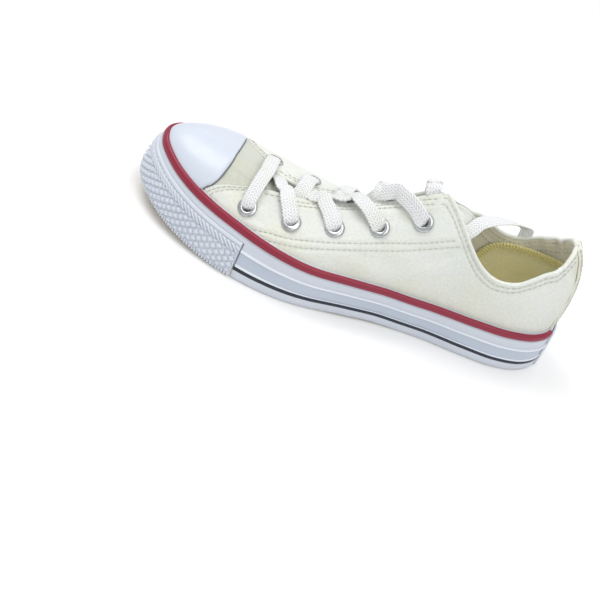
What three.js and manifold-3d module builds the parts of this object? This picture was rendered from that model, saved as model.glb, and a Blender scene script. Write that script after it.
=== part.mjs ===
// A low canvas sneaker for the left foot, standing empty on its sole. Millimetres, +Z up,
// toe towards -X, outer side of the foot towards -Y, origin at the middle of the base.
import * as THREE from 'three';
import { mergeVertices } from 'three/addons/utils/BufferGeometryUtils.js';
import Module from 'manifold-3d';

const wasm = await Module();
wasm.setup();

// Driving sizes
const LENGTH = 247; // sole, from the back of the heel to the toe
const OUTER_BALL = 47.2; // from the heel's axis to the outer side of the sole at the ball
const INNER_BALL = 43.7; // from the heel's axis to the inner side of the sole at the ball
const FOXING_HEIGHT = 26.4; // rubber side wall at the heel
const TOE_SPRING = 11.5; // how far the toe curls up from the floor
const SPRING_AT = 0.7; // where the toe starts to curl up, as a share of LENGTH
const SPRING_POWER = 1.8; // how late in that reach the curl comes
const TOE_LEAN = 8.8; // how far the side wall leans in at the toe
const HEEL_HEIGHT = 75; // collar at the back of the heel
const ANKLE_HEIGHT = 51; // lowest place of the collar
const INSTEP_HEIGHT = 75; // top corner of the quarters, at the throat
const OUTSOLE = 5; // thickness of the outsole's plate
const ARCH_RISE = 0.8; // clearance under the waist, between heel and forefoot
const ARCH_REACH = [0.32, 0.4, 0.46, 0.54]; // where that starts, is full, eases and ends, of LENGTH
const FOXING_WALL = 3.4; // side wall's thickness at its foot
const FOXING_LIP = 1.8; // side wall's thickness at its top edge
const FOXING_FULL = 0.45; // share of its height up to which the side wall keeps its full thickness
const WALL = 1.4; // canvas of the vamp, and of the quarters under their outer ply
const QUARTER_STEP = 0.8; // outer ply of the quarters, a step above the vamp
const CAP_THICKNESS = 1.3; // rubber toe cap
const BUMPER_THICKNESS = 1.6; // ribbed bumper round the toe
const RELIEF = 0.9; // height of the bumper's ribs and diamonds
const PATCH_THICKNESS = 1.0; // bare rubber patch on the heel
const STRIP_THICKNESS = 0.9; // canvas strip over the back seam
const STRIP_HALF_WIDTH = 11.5; // half the width of the heel strip and its patch
const RED_STRIPE = 4; // width of the red edge stripe
const DARK_STRIPE = 1.8; // width of the dark side stripe
const DARK_STRIPE_HEIGHT = 6; // middle of the dark stripe above the side wall's foot
const STRIPE_DEPTH = 0.8; // both stripes' thickness
const RIB_HEIGHT = 16; // moulded line of the side wall above its foot
const RIB_HALF = 1.2; // half the moulded line's width
const RIB_PROUD = 0.5; // how far it stands outside the side wall
const RED_PROUD = 0.5; // how far the red stripe stands outside the side wall
const INSOLE = 3.5; // insole's thickness
const INSOLE_GAP = 0.6; // clearance round the insole
const CAP_GAP = 0.5; // clearance of the toe cap over the vamp
const TONGUE = 1.8; // tongue's thickness
const TONGUE_GAP = 0.6; // clearance of the tongue under the quarters
const TONGUE_HALF_WIDTH = 23; // tongue, at the throat's top
const TONGUE_NARROW = 0.7; // its front end, as a share of that
const TONGUE_FRONT_AT = 0.765; // tongue's front end, under the vamp
const TONGUE_BACK_AT = 0.388; // tongue's last station under the quarters
const TONGUE_DROP = [0.02, 0.05]; // behind its front end, where it drops below the eyelets
const EYELET_HOLE = 2.4; // radius of an eyelet's hole
const EYELET_BARREL = 3.2; // radius of an eyelet's barrel
const EYELET_FLANGE = 5.2; // radius of an eyelet's flange
const EYELET_PLATE = 0.6; // thickness of the flange
const EYELET_LIFT = 0.45; // clearance of the flange over the curved canvas
const EYELET_SETBACK = 0.8; // clearance of the smaller flange behind the canvas
const EYELET_BACK_RIM = 0.7; // how far the smaller flange stands out from the barrel
const EYELET_ROUND = 0.4; // bevel of the flange's face
const EYELET_BACK = EYELET_SETBACK + EYELET_PLATE / 2; // how far an eyelet stands behind the quarters
const HOLE_DEPTH = 12; // of the cylinders that cut the canvas for the eyelets
const LACE_WIDTH = 7.5;
const LACE_THICKNESS = 1.2;
const LACE_PUFF = 2.2; // how far a crossing arches up
const LACE_START = 0.12; // place in that arch where a crossing comes out from under an earlier one
const LACE_UNDER = 0.32; // how far ahead of its eyelet row it does so, as a share of the rows' spacing
const LACE_TIP_LENGTH = 16;
const LACE_TIP_RADIUS = 1.32;
const LACE_TIP_END = 1.12; // its radius at its free end
const GAP = 0.3; // clearance between pieces that touch
const SKIRT_GAP = 0.8; // clearance of the upper inside the side wall, whose facets differ
const WALL_FOOT = 0.5; // side wall's lower edge above the outsole's underside
const LEAN_POWER = 1.35; // the side wall leans in more towards its top
const FEATHER_UP = 0.92; // where the upper's wall leaves the side wall, as a share of its height
const SKIRT_UP = 0.55; // a lower place of the upper inside the side wall, as such a share
const NEAR = 1e-6; // shares closer than this are one place
const WELD = 1e-3; // corners closer than this are one corner
const LACE_CLEAR = EYELET_LIFT + EYELET_PLATE + GAP + LACE_THICKNESS / 2; // lace's middle over the quarters

// Resolution
const HEEL_STOPS = 2; // each side's columns behind the heel patch
const SIDE_STOPS = 20; // from there to the bumper
const TOE_STOPS = 11; // along the bumper
const QUARTER_COLUMNS = 20;
const VAMP_COLUMNS = 9;
const ROWS = 8; // of the upper, from the feather line to its top edge
const CORNER_ROW = 5; // row that meets the front corner of the throat
const SLOT_SHARE = 0.985; // the quarters' last column, just behind that corner
const CAP_ROWS = 7;
const TONGUE_COLUMNS = 13;
const TONGUE_ROWS = 8;
const EYELET_SIDES = 9;
const LACE_STOPS = 7; // along each crossing
const OUTLINE_SAMPLES = 600; // along each side of the plan
const SHARP = 0.0012; // half the distance between two columns at a change of section
const STEP_AT = 0.004; // steps along and up the face that give its slope
const STEP_UP = 0.01;

// Plan of the sole: along is a share of LENGTH, outer and inner are shares of the two half-widths.
const PLAN = [
  { along: 0.012, outer: 0.275, inner: 0.297 },
  { along: 0.049, outer: 0.47, inner: 0.508 },
  { along: 0.109, outer: 0.585, inner: 0.627 },
  { along: 0.186, outer: 0.621, inner: 0.636 },
  { along: 0.283, outer: 0.64, inner: 0.604 },
  { along: 0.385, outer: 0.725, inner: 0.604 },
  { along: 0.486, outer: 0.869, inner: 0.682 },
  { along: 0.579, outer: 0.983, inner: 0.812 },
  { along: 0.656, outer: 0.996, inner: 0.929 },
  { along: 0.729, outer: 0.945, inner: 0.998 },
  { along: 0.806, outer: 0.843, inner: 0.989 },
  { along: 0.879, outer: 0.686, inner: 0.879 },
  { along: 0.941, outer: 0.466, inner: 0.668 },
  { along: 0.986, outer: 0.191, inner: 0.378 },
];
const TIP_ASIDE = -0.106; // toe's tip, towards the inner side, as a share of OUTER_BALL

// The last, by the share of the way round the sole from heel (0) to toe (1). lean is a share of
// TOE_LEAN and top of FOXING_HEIGHT. The ridge, where both sides meet, lies at along of LENGTH and
// aside of OUTER_BALL, at heel of HEEL_HEIGHT plus instep of INSTEP_HEIGHT. out and in say how full the
// outer and the inner side are: 1 is a straight slope and 2 a quarter of an ellipse.
const LAST = [
  { at: 0, lean: 0.295, top: 1, along: 0.13, aside: 0, heel: 1.07, instep: 0, out: 2.45, in: 2.45 },
  { at: 0.1, lean: 0.25, top: 0.992, along: 0.153, aside: 0, heel: 1.08, instep: 0, out: 2.4, in: 2.4 },
  { at: 0.2, lean: 0.16, top: 0.955, along: 0.215, aside: 0, heel: 0.547, instep: 0.547, out: 2.3, in: 2.3 },
  { at: 0.3, lean: 0.068, top: 0.924, along: 0.296, aside: 0.01, heel: 0, instep: 1.08, out: 1.9, in: 1.9 },
  { at: 0.385, lean: 0.068, top: 0.917, along: 0.385, aside: 0.042, heel: 0, instep: 0.967, out: 1.53, in: 1.5 },
  { at: 0.45, lean: 0.17, top: 0.924, along: 0.453, aside: 0.064, heel: 0, instep: 0.793, out: 1.7, in: 1.5 },
  { at: 0.525, lean: 0.364, top: 0.943, along: 0.538, aside: 0.112, heel: 0, instep: 0.645, out: 1.8, in: 1.55 },
  { at: 0.6, lean: 0.602, top: 0.992, along: 0.621, aside: 0.165, heel: 0, instep: 0.567, out: 1.7, in: 1.9 },
  { at: 0.7, lean: 0.92, top: 1.049, along: 0.723, aside: 0.18, heel: 0, instep: 0.57, out: 1.5, in: 1.95 },
  { at: 0.78, lean: 0.989, top: 1.045, along: 0.798, aside: 0.09, heel: 0, instep: 0.579, out: 1.7, in: 2.1 },
  { at: 0.86, lean: 1, top: 1.027, along: 0.845, aside: -0.02, heel: 0, instep: 0.575, out: 1.9, in: 2.1 },
  { at: 1, lean: 1, top: 0.989, along: 0.874, aside: -0.085, heel: 0, instep: 0.565, out: 2, in: 2 },
];

// Collar's rise above ANKLE_HEIGHT, as a share of the rise to the heel or to the instep.
const COLLAR = [
  { at: 0, rise: 1 },
  { at: 0.04, rise: 0.98 },
  { at: 0.07, rise: 0.89 },
  { at: 0.1, rise: 0.69 },
  { at: 0.134, rise: 0.5 },
  { at: 0.16, rise: 0.3 },
  { at: 0.18, rise: 0.12 },
  { at: 0.205, rise: 0.01 },
  { at: 0.23, rise: 0.01 },
  { at: 0.258, rise: 0.14 },
  { at: 0.285, rise: 0.38 },
  { at: 0.31, rise: 0.65 },
  { at: 0.334, rise: 0.86 },
  { at: 0.354, rise: 0.97 },
  { at: 0.372, rise: 1 },
];
const ANKLE_AT = 0.22; // where the collar is lowest

// How much lower the inner side's edge lies round its top corner, in mm along the face.
const INNER_DROP = [
  { at: 0.27, drop: 0 },
  { at: 0.29, drop: 3 },
  { at: 0.31, drop: 8 },
  { at: 0.334, drop: 11 },
  { at: 0.354, drop: 10 },
  { at: 0.372, drop: 7 },
  { at: 0.39, drop: 4 },
  { at: 0.42, drop: 1.5 },
  { at: 0.45, drop: 0 },
];
const THROAT_TOP_AT = 0.372; // top corner of the quarters
const THROAT_END_AT = 0.69; // rear edge of the vamp

// Half the throat's width, as a share of OUTER_BALL.
const THROAT = [
  { at: 0.372, half: 0.053 },
  { at: 0.45, half: 0.053 },
  { at: 0.525, half: 0.064 },
  { at: 0.6, half: 0.1 },
  { at: 0.65, half: 0.133 },
  { at: 0.69, half: 0.17 },
];

// Front edge of the quarters, from the foot of the wall (0) to the throat's corner (1).
const QUARTER_FRONT = [
  { up: 0, at: 0.797 },
  { up: 0.2, at: 0.7945 },
  { up: 0.4, at: 0.785 },
  { up: 0.65, at: 0.76 },
  { up: 0.82, at: 0.73 },
  { up: 1, at: 0.69 },
];

// Rear edge of the toe cap, from its foot (0) to the ridge (1).
const CAP_EDGE = [
  { up: 0, at: 0.8 },
  { up: 0.14, at: 0.7965 },
  { up: 0.3, at: 0.786 },
  { up: 0.45, at: 0.779 },
  { up: 0.6, at: 0.777 },
  { up: 1, at: 0.777 },
];
const BUMPER_AT = 0.672; // where the bumper's straight ends are
const BUMPER_TOP = 0.75; // bumper's top, as a share of the side wall's height
const DIAMOND_STOPS = 48; // half diamonds round the toe
const DIAMOND_ROWS = 6; // half rows of diamonds
const DIAMOND_FOOT = 0.115; // lowest and highest corners of the diamonds, as such shares
const DIAMOND_TOP = 0.52;
const RIB_FOOT = 0.54; // the slanted ribs above them, as such shares
const RIB_TOP = 0.67;
const RIB_END = 0.7;

// Eyelets from toe to ankle: outer and inner are distances from the ridge, as shares of OUTER_BALL.
const EYELETS = [
  { at: 0.698, outer: 0.42, inner: 0.395 },
  { at: 0.608, outer: 0.43, inner: 0.335 },
  { at: 0.528, outer: 0.425, inner: 0.33 },
  { at: 0.454, outer: 0.38, inner: 0.32 },
  { at: 0.385, outer: 0.3, inner: 0.31 },
];

// Vent eyelets low on the inner side: at the share of the way round, up the wall.
const VENTS = [
  { at: 0.44, up: 0.27 },
  { at: 0.51, up: 0.27 },
];

// Free end of the tongue behind the throat's top: back and up are shares of TONGUE_HALF_WIDTH from
// the last station under the quarters, and half is its half-width there.
const TONGUE_END = [
  { back: 0.25, up: 0.12, half: 0.96 },
  { back: 0.5, up: 0.17, half: 0.9 },
  { back: 0.72, up: 0.15, half: 0.78 },
  { back: 0.86, up: 0.1, half: 0.6 },
];

// Free end of the lace, from inside the collar over its inner side: forward, aside and up in mm,
// with the tilt of its flat side from level, in degrees.
const LACE_END = [
  { forward: 74, aside: 13.2, up: 60.6, tilt: -50 },
  { forward: 70.6, aside: 9.4, up: 64.2, tilt: -38 },
  { forward: 67.5, aside: 4.5, up: 66.6, tilt: -20 },
  { forward: 61.5, aside: -2, up: 66.6, tilt: -4 },
  { forward: 55, aside: -8.5, up: 65.2, tilt: 14 },
  { forward: 48.5, aside: -14.6, up: 62.9, tilt: 28 },
  { forward: 43, aside: -19.4, up: 60.2, tilt: 40 },
  { forward: 39, aside: -23.6, up: 57.5, tilt: 50 },
  { forward: 36.6, aside: -27.4, up: 53.9, tilt: 66 },
  { forward: 35.6, aside: -29.4, up: 49, tilt: 80 },
  { forward: 35.2, aside: -30.4, up: 43, tilt: 84 },
  { forward: 35.2, aside: -31, up: 37.5, tilt: 86 },
];

// One row of values at any place of a table, on a smooth curve through its rows.
function table(rows, key) {
  const names = Object.keys(rows[0]).filter((name) => name !== key);
  const places = rows.map((row) => row[key]);
  const values = rows.flatMap((row) => names.map((name) => row[name]));
  const curve = new THREE.CubicInterpolant(places, values, names.length);
  return (place) => {
    const inside = THREE.MathUtils.clamp(place, places[0], places[places.length - 1]);
    const found = curve.evaluate(inside);
    return Object.fromEntries(names.map((name, i) => [name, found[i]]));
  };
}

const last = table(LAST, 'at');
const collar = table(COLLAR, 'at');
const throat = table(THROAT, 'at');
const innerDrop = table(INNER_DROP, 'at');
const quarterFront = table(QUARTER_FRONT, 'up');
const capEdge = table(CAP_EDGE, 'up');

// Sides: +1 is the outer side of the foot and -1 the inner side.
const OUTER = 1;
const INNER = -1;

// A point of the shoe, forward from the heel, aside to the outer side, and up.
function point(forward, aside, up) {
  return new THREE.Vector3(LENGTH / 2 - forward, -aside, up);
}

// Plan outline, one closed curve, with each side's part of it measured along its own length.
function planSides() {
  const outer = PLAN.map((row) => new THREE.Vector3(row.along * LENGTH, row.outer * OUTER_BALL, 0));
  const inner = PLAN.map((row) => new THREE.Vector3(row.along * LENGTH, -row.inner * INNER_BALL, 0));
  const heel = new THREE.Vector3(0, 0, 0);
  const tip = new THREE.Vector3(LENGTH, TIP_ASIDE * OUTER_BALL, 0);
  const curve = new THREE.CatmullRomCurve3([heel, ...outer, tip, ...inner.reverse()], true, 'centripetal');
  const toTip = (PLAN.length + 1) / (2 * PLAN.length + 2);
  const sides = {};
  for (const side of [OUTER, INNER]) {
    const points = [];
    for (let i = 0; i <= OUTLINE_SAMPLES; i++) {
      const share = (toTip * i) / OUTLINE_SAMPLES;
      points.push(curve.getPoint(side === OUTER ? share : (1 - share) % 1));
    }
    const lengths = [0];
    for (let i = 1; i <= OUTLINE_SAMPLES; i++) {
      lengths.push(lengths[i - 1] + points[i].distanceTo(points[i - 1]));
    }
    sides[side] = { points, lengths };
  }
  return sides;
}

const plan = planSides();

// Point of the outline at a share of a side's length, and the way out from it.
function outline(side, at) {
  const { points, lengths } = plan[side];
  const total = lengths[lengths.length - 1];
  const target = THREE.MathUtils.clamp(at, 0, 1) * total;
  let i = 1;
  while (i < lengths.length - 1 && lengths[i] < target) {
    i++;
  }
  const share = (target - lengths[i - 1]) / (lengths[i] - lengths[i - 1]);
  const spot = points[i - 1].clone().lerp(points[i], share);
  const before = points[Math.max(i - 3, 0)];
  const after = points[Math.min(i + 2, points.length - 1)];
  const along = after.clone().sub(before).normalize();
  let out = new THREE.Vector3(-along.y * side, along.x * side, 0);
  if (at <= 0 || at >= 1) {
    out = new THREE.Vector3(at <= 0 ? -1 : 1, 0, 0);
  }
  return { forward: spot.x, aside: spot.y, out };
}

// Height of the sole's underside above the floor: arch and toe spring.
function ground(forward) {
  const share = forward / LENGTH;
  const spring = THREE.MathUtils.clamp((share - SPRING_AT) / (1 - SPRING_AT), 0, 1) ** SPRING_POWER;
  const [from, full, ease, to] = ARCH_REACH;
  const arch = THREE.MathUtils.smoothstep(share, from, full) - THREE.MathUtils.smoothstep(share, ease, to);
  return TOE_SPRING * spring + ARCH_RISE * arch;
}

// Point on the side wall's outer face: up is a share of its height, and inset is how far inside.
function sidePoint(side, at, up, inset = 0) {
  const row = last(at);
  const { forward, aside, out } = outline(side, at);
  const depth = TOE_LEAN * row.lean * Math.max(up, 0) ** LEAN_POWER + inset;
  const height = FOXING_HEIGHT * row.top - WALL_FOOT;
  const z = ground(forward) + WALL_FOOT + up * height;
  return { forward: forward - out.x * depth, aside: aside - out.y * depth, up: z };
}

function sideHeight(at) {
  return FOXING_HEIGHT * last(at).top - WALL_FOOT;
}

// Side wall's thickness at a share of its height.
function foxingThickness(up) {
  return THREE.MathUtils.mapLinear(Math.max(up, FOXING_FULL), FOXING_FULL, 1, FOXING_WALL, FOXING_LIP);
}

// The upper's foot, inside the side wall.
function skirtPoint(side, at, up, inset = 0) {
  const found = sidePoint(side, at, up, foxingThickness(up) + SKIRT_GAP + inset);
  return point(found.forward, found.aside, found.up);
}

// The two ends of the upper's section at a place: its feather and the ridge.
function section(side, at) {
  const row = last(at);
  const foot = skirtPoint(side, at, FEATHER_UP);
  const ridgeUp = row.heel * HEEL_HEIGHT + row.instep * INSTEP_HEIGHT;
  const ridge = point(row.along * LENGTH, row.aside * OUTER_BALL, ridgeUp);
  return { foot, ridge, full: side === OUTER ? row.out : row.in };
}

// Point of the quarters' outer face, up the section from the feather (0) to the ridge (1).
function facePoint(side, at, up) {
  const { foot, ridge, full } = section(side, at);
  const angle = (Math.PI / 2) * THREE.MathUtils.clamp(up, 0, 1);
  const inward = 1 - Math.max(Math.cos(angle), 0) ** (2 / full);
  const rise = Math.sin(angle) ** (2 / full);
  return new THREE.Vector3(
    THREE.MathUtils.lerp(foot.x, ridge.x, inward),
    THREE.MathUtils.lerp(foot.y, ridge.y, inward),
    THREE.MathUtils.lerp(foot.z, ridge.z, rise),
  );
}

// How far up a section lies at a distance from the ridge, seen from above.
function upAtDistance(side, at, distance) {
  const { foot, ridge, full } = section(side, at);
  const span = Math.hypot(foot.x - ridge.x, foot.y - ridge.y);
  return (2 / Math.PI) * Math.acos(Math.min(distance / span, 1) ** (full / 2));
}

// How far up a section lies at a height above the floor.
function upAtHeight(side, at, height) {
  const { foot, ridge, full } = section(side, at);
  const rise = THREE.MathUtils.clamp((height - foot.z) / (ridge.z - foot.z), 0, 0.995);
  return (2 / Math.PI) * Math.asin(rise ** (full / 2));
}

// Way out of one side's face, from its slopes both ways.
function oneSideOut(side, at, up) {
  const a = THREE.MathUtils.clamp(at, STEP_AT, 1 - STEP_AT);
  const u = THREE.MathUtils.clamp(up, STEP_UP, 1 - 2.5 * STEP_UP);
  const along = facePoint(side, a + STEP_AT, u).sub(facePoint(side, a - STEP_AT, u));
  const upward = facePoint(side, a, u + STEP_UP).sub(facePoint(side, a, u - STEP_UP));
  return upward.cross(along).multiplyScalar(side).normalize();
}

// Whether both sides meet at a place: on the ridge, at the heel's seam or at the toe's tip.
function meets(at, up) {
  return up > 1 - NEAR || at < NEAR || at > 1 - NEAR;
}

// Way out of the face. Where the two sides meet, both give the same way.
function faceOut(side, at, up) {
  if (meets(at, up)) {
    return oneSideOut(OUTER, at, up).add(oneSideOut(INNER, at, up)).normalize();
  }
  return oneSideOut(side, at, up);
}

// Point of the face moved out, or in where out is negative.
function shellPoint(side, at, up, out = 0) {
  const own = meets(at, up) ? OUTER : side;
  return facePoint(own, at, up).addScaledVector(faceOut(side, at, up), out);
}

// Point over the throat: across is the distance from the ridge, positive on the outer side.
function throatPoint(at, across, out) {
  const side = across < 0 ? INNER : OUTER;
  const up = upAtDistance(side, at, Math.abs(across));
  return { spot: shellPoint(side, at, up, out), way: faceOut(side, at, up) };
}

// Top edge of the outer side, and of the inner side before its drop: the collar behind the
// throat's corner, then the throat's edge.
function edgeUp(side, at) {
  if (at >= THROAT_TOP_AT) {
    return upAtDistance(side, at, throat(at).half * OUTER_BALL);
  }
  const reach = at < ANKLE_AT ? HEEL_HEIGHT : INSTEP_HEIGHT;
  const height = ANKLE_HEIGHT + collar(at).rise * (reach - ANKLE_HEIGHT);
  const corner = upAtDistance(side, at, throat(THROAT_TOP_AT).half * OUTER_BALL);
  return Math.min(upAtHeight(side, at, height), corner);
}

// Top of the upper at a place.
function topUp(side, at) {
  const edge = edgeUp(side, at);
  if (side === OUTER) {
    return edge;
  }
  const step = facePoint(side, at, edge).distanceTo(facePoint(side, at, edge - STEP_UP));
  return edge - (innerDrop(at).drop * STEP_UP) / step;
}

function cornerUp(side) {
  return topUp(side, THROAT_END_AT);
}

function quarterFrontAt(side, up) {
  return quarterFront(Math.min(up / cornerUp(side), 1)).at;
}

// Evenly spread shares from 0 to 1, closer together at both ends.
function stations(count, crowding) {
  return Array.from({ length: count + 1 }, (_, i) => {
    const share = i / count;
    return share - (crowding * Math.sin(2 * Math.PI * share)) / (2 * Math.PI);
  });
}

// Closed geometry from loose triangles: shared corners merged, flat ones dropped, faces out.
function closedGeometry(triangles) {
  const flat = new THREE.BufferGeometry();
  const corners = triangles.flat().flatMap((corner) => [corner.x, corner.y, corner.z]);
  flat.setAttribute('position', new THREE.Float32BufferAttribute(corners, 3));
  const merged = mergeVertices(flat, WELD);
  const index = Array.from(merged.index.array);
  const kept = [];
  for (let i = 0; i < index.length; i += 3) {
    const [a, b, c] = index.slice(i, i + 3);
    if (a !== b && b !== c && a !== c) {
      kept.push([a, b, c]);
    }
  }
  const at = (i) => new THREE.Vector3().fromBufferAttribute(merged.attributes.position, i);
  const volume = kept.reduce((sum, [a, b, c]) => sum + at(a).dot(at(b).cross(at(c))), 0);
  merged.setIndex(kept.flatMap(([a, b, c]) => (volume < 0 ? [a, c, b] : [a, b, c])));
  merged.computeVertexNormals();
  return merged;
}

function quad(a, b, c, d) {
  return [[a, b, c], [a, c, d]];
}

// Triangles between the columns of a grid of points, each column a list of points.
function gridTriangles(columns, closedRound = false, closedUp = false) {
  const triangles = [];
  const count = closedRound ? columns.length : columns.length - 1;
  for (let i = 0; i < count; i++) {
    const here = columns[i];
    const next = columns[(i + 1) % columns.length];
    const rows = closedUp ? here.length : here.length - 1;
    for (let j = 0; j < rows; j++) {
      const k = (j + 1) % here.length;
      triangles.push(...quad(here[j], next[j], next[k], here[k]));
    }
  }
  return triangles;
}

function fan(loop) {
  return loop.slice(1, -1).map((_, i) => [loop[0], loop[i + 1], loop[i + 2]]);
}

// Loose triangles of a primitive.
function trianglesOf(geometry) {
  const loose = geometry.toNonIndexed().attributes.position;
  const corner = (i) => new THREE.Vector3().fromBufferAttribute(loose, i);
  const corners = Array.from({ length: loose.count }, (_, i) => corner(i));
  return Array.from({ length: loose.count / 3 }, (_, i) => corners.slice(3 * i, 3 * i + 3));
}

function toManifold(geometry) {
  return new wasm.Manifold(new wasm.Mesh({
    numProp: 3,
    vertProperties: new Float32Array(geometry.attributes.position.array),
    triVerts: new Uint32Array(geometry.index.array),
  }));
}

function fromManifold(solid) {
  const mesh = solid.getMesh();
  const geometry = new THREE.BufferGeometry();
  geometry.setAttribute('position', new THREE.BufferAttribute(mesh.vertProperties, 3));
  geometry.setIndex(new THREE.BufferAttribute(mesh.triVerts, 1));
  geometry.computeVertexNormals();
  return geometry;
}

// Shares of a side's length where its rings have columns, with a pair at each change of section.
const sideLength = plan[OUTER].lengths.at(-1);
const PATCH_AT = STRIP_HALF_WIDTH / sideLength;

function spread(from, to, count, power = 1) {
  return Array.from({ length: count + 1 }, (_, i) => from + (to - from) * (i / count) ** power);
}

const heelStops = spread(0, PATCH_AT - SHARP, HEEL_STOPS);
const sideStops = spread(PATCH_AT + SHARP, BUMPER_AT - SHARP, SIDE_STOPS, 1.2);
const toeStops = spread(BUMPER_AT + SHARP, 1, TOE_STOPS);

// Columns round the shoe over the given shares: along the outer side, and back along the inner.
function round(shares) {
  const outer = shares.map((at) => ({ side: OUTER, at }));
  const inner = [...shares].reverse().map((at) => ({ side: INNER, at }));
  return shares.at(-1) === 1 ? [...outer, ...inner.slice(1)] : [...outer, ...inner];
}

// Points of a side wall's section: each row is a height in mm above its foot and a depth inside.
function wallColumn({ side, at }, rows) {
  const height = sideHeight(at);
  return rows.map(([up, depth]) => {
    const found = sidePoint(side, at, up / height, depth);
    return point(found.forward, found.aside, found.up);
  });
}

// Closed body swept along columns of closed sections, with flat ends unless it closes on itself.
function sweep(columns, closedRound = false) {
  const triangles = gridTriangles(columns, closedRound, true);
  if (!closedRound) {
    triangles.push(...fan(columns[0]));
    triangles.push(...fan(columns.at(-1)).map(([a, b, c]) => [a, c, b]));
  }
  return closedGeometry(triangles);
}

// Side wall: one rubber ring with grooves for both stripes and a bed for the bumper.
function foxingColumn(stop) {
  const height = sideHeight(stop.at);
  const redFoot = height - RED_STRIPE - GAP;
  const redBed = STRIPE_DEPTH + GAP - RED_PROUD;
  const darkFoot = DARK_STRIPE_HEIGHT - DARK_STRIPE / 2 - GAP;
  const darkTop = DARK_STRIPE_HEIGHT + DARK_STRIPE / 2 + GAP;
  const thinning = (1 + FOXING_FULL) / 2;
  const lining = [
    [height, FOXING_LIP],
    [height * thinning, foxingThickness(thinning)],
    [height * FOXING_FULL, FOXING_WALL],
    [0, FOXING_WALL],
  ];
  const top = [
    [redFoot, 0],
    [redFoot, redBed],
    [height, redBed],
  ];
  if (stop.at < PATCH_AT) {
    const rib = [RIB_HEIGHT - RIB_HALF, RIB_HEIGHT, RIB_HEIGHT + RIB_HALF];
    const plain = [0, darkFoot, darkFoot + GAP, darkTop - GAP, darkTop, ...rib, redFoot, redFoot + GAP, height];
    return wallColumn(stop, [...plain.map((up) => [up, 0]), ...lining]);
  }
  if (stop.at > BUMPER_AT) {
    const bed = BUMPER_THICKNESS + GAP;
    const bedTop = height * BUMPER_TOP + GAP;
    const low = [0, darkFoot, darkFoot + GAP, darkTop - GAP, darkTop, bedTop];
    const lip = [[bedTop, 0], [bedTop + RIB_HALF, 0]];
    return wallColumn(stop, [...low.map((up) => [up, bed]), ...lip, ...top, ...lining]);
  }
  const rows = [
    [0, 0],
    [darkFoot, 0],
    [darkFoot, STRIPE_DEPTH + GAP],
    [darkTop, STRIPE_DEPTH + GAP],
    [darkTop, 0],
    [RIB_HEIGHT - RIB_HALF, 0],
    [RIB_HEIGHT, -RIB_PROUD],
    [RIB_HEIGHT + RIB_HALF, 0],
  ];
  return wallColumn(stop, [...rows, ...top, ...lining]);
}

function foxingGeometry() {
  const stops = round([...heelStops, ...sideStops, ...toeStops]);
  return sweep(stops.slice(0, -1).map(foxingColumn), true);
}

// Red stripe round the top of the side wall, open behind the heel patch.
function redStripeGeometry() {
  const columns = round([...sideStops, ...toeStops]).map((stop) => {
    const height = sideHeight(stop.at);
    const bed = STRIPE_DEPTH - RED_PROUD;
    const bevel = RED_STRIPE / 5;
    return wallColumn(stop, [
      [height - RED_STRIPE, bed],
      [height - RED_STRIPE, 0],
      [height - RED_STRIPE + bevel, -RED_PROUD],
      [height - bevel, -RED_PROUD],
      [height, 0],
      [height, bed],
    ]);
  });
  return sweep(columns);
}

// Dark stripe along one side, from the heel patch to the bumper.
function darkStripeGeometry(side) {
  const low = DARK_STRIPE_HEIGHT - DARK_STRIPE / 2;
  const high = DARK_STRIPE_HEIGHT + DARK_STRIPE / 2;
  const section = [
    [low, STRIPE_DEPTH],
    [low, 0],
    [high, 0],
    [high, STRIPE_DEPTH],
  ];
  return sweep(sideStops.map((at) => wallColumn({ side, at }, section)));
}

// Bumper round the toe: a smooth lip, a row of slanted ribs and three rows of raised diamonds.
function bumperColumn(stop, i) {
  const height = sideHeight(stop.at);
  const odd = i % 2 === 1;
  const rows = [[GAP, BUMPER_THICKNESS], [GAP, 0]];
  for (let j = 0; j <= DIAMOND_ROWS; j++) {
    const up = THREE.MathUtils.lerp(DIAMOND_FOOT, DIAMOND_TOP, j / DIAMOND_ROWS);
    rows.push([up * height, (i + j) % 2 === 1 ? -RELIEF : 0]);
  }
  rows.push([RIB_FOOT * height, odd ? -RELIEF : 0]);
  rows.push([RIB_TOP * height, odd ? 0 : -RELIEF]);
  rows.push([RIB_END * height, -RELIEF / 2]);
  rows.push([BUMPER_TOP * height, 0]);
  rows.push(...[1, 2 / 3, 1 / 3].map((share) => [share * BUMPER_TOP * height, BUMPER_THICKNESS]));
  return wallColumn(stop, rows);
}

function bumperGeometry() {
  const half = DIAMOND_STOPS / 2;
  const shares = spread(BUMPER_AT + 2 * SHARP, 1, half);
  const columns = round(shares).map(bumperColumn);
  const triangles = [];
  for (let i = 0; i < columns.length - 1; i++) {
    const here = columns[i];
    const next = columns[i + 1];
    for (let j = 0; j < here.length; j++) {
      const k = (j + 1) % here.length;
      // A diamond's low corners are joined, so that its valleys run straight.
      const low = j >= 2 && j < 2 + DIAMOND_ROWS && (i + j) % 2 === 1;
      triangles.push(...(low
        ? [[here[j], next[j], here[k]], [next[j], next[k], here[k]]]
        : quad(here[j], next[j], next[k], here[k])));
    }
  }
  triangles.push(...fan(columns[0]));
  triangles.push(...fan(columns.at(-1)).map(([a, b, c]) => [a, c, b]));
  return closedGeometry(triangles);
}

// Flat plate inside the side wall: a ladder of quads between both sides' outlines.
function plateGeometry(depth, low, high) {
  const shares = [...heelStops, ...sideStops, ...toeStops];
  const corner = (side, at, up) => {
    const found = sidePoint(side, at, up / sideHeight(at), depth(up / sideHeight(at)));
    return point(found.forward, found.aside, ground(found.forward) + up);
  };
  const columns = shares.map((at) => [
    corner(OUTER, at, low),
    corner(OUTER, at, high),
    corner(INNER, at, high),
    corner(INNER, at, low),
  ]);
  return closedGeometry(gridTriangles(columns, false, true));
}

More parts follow.
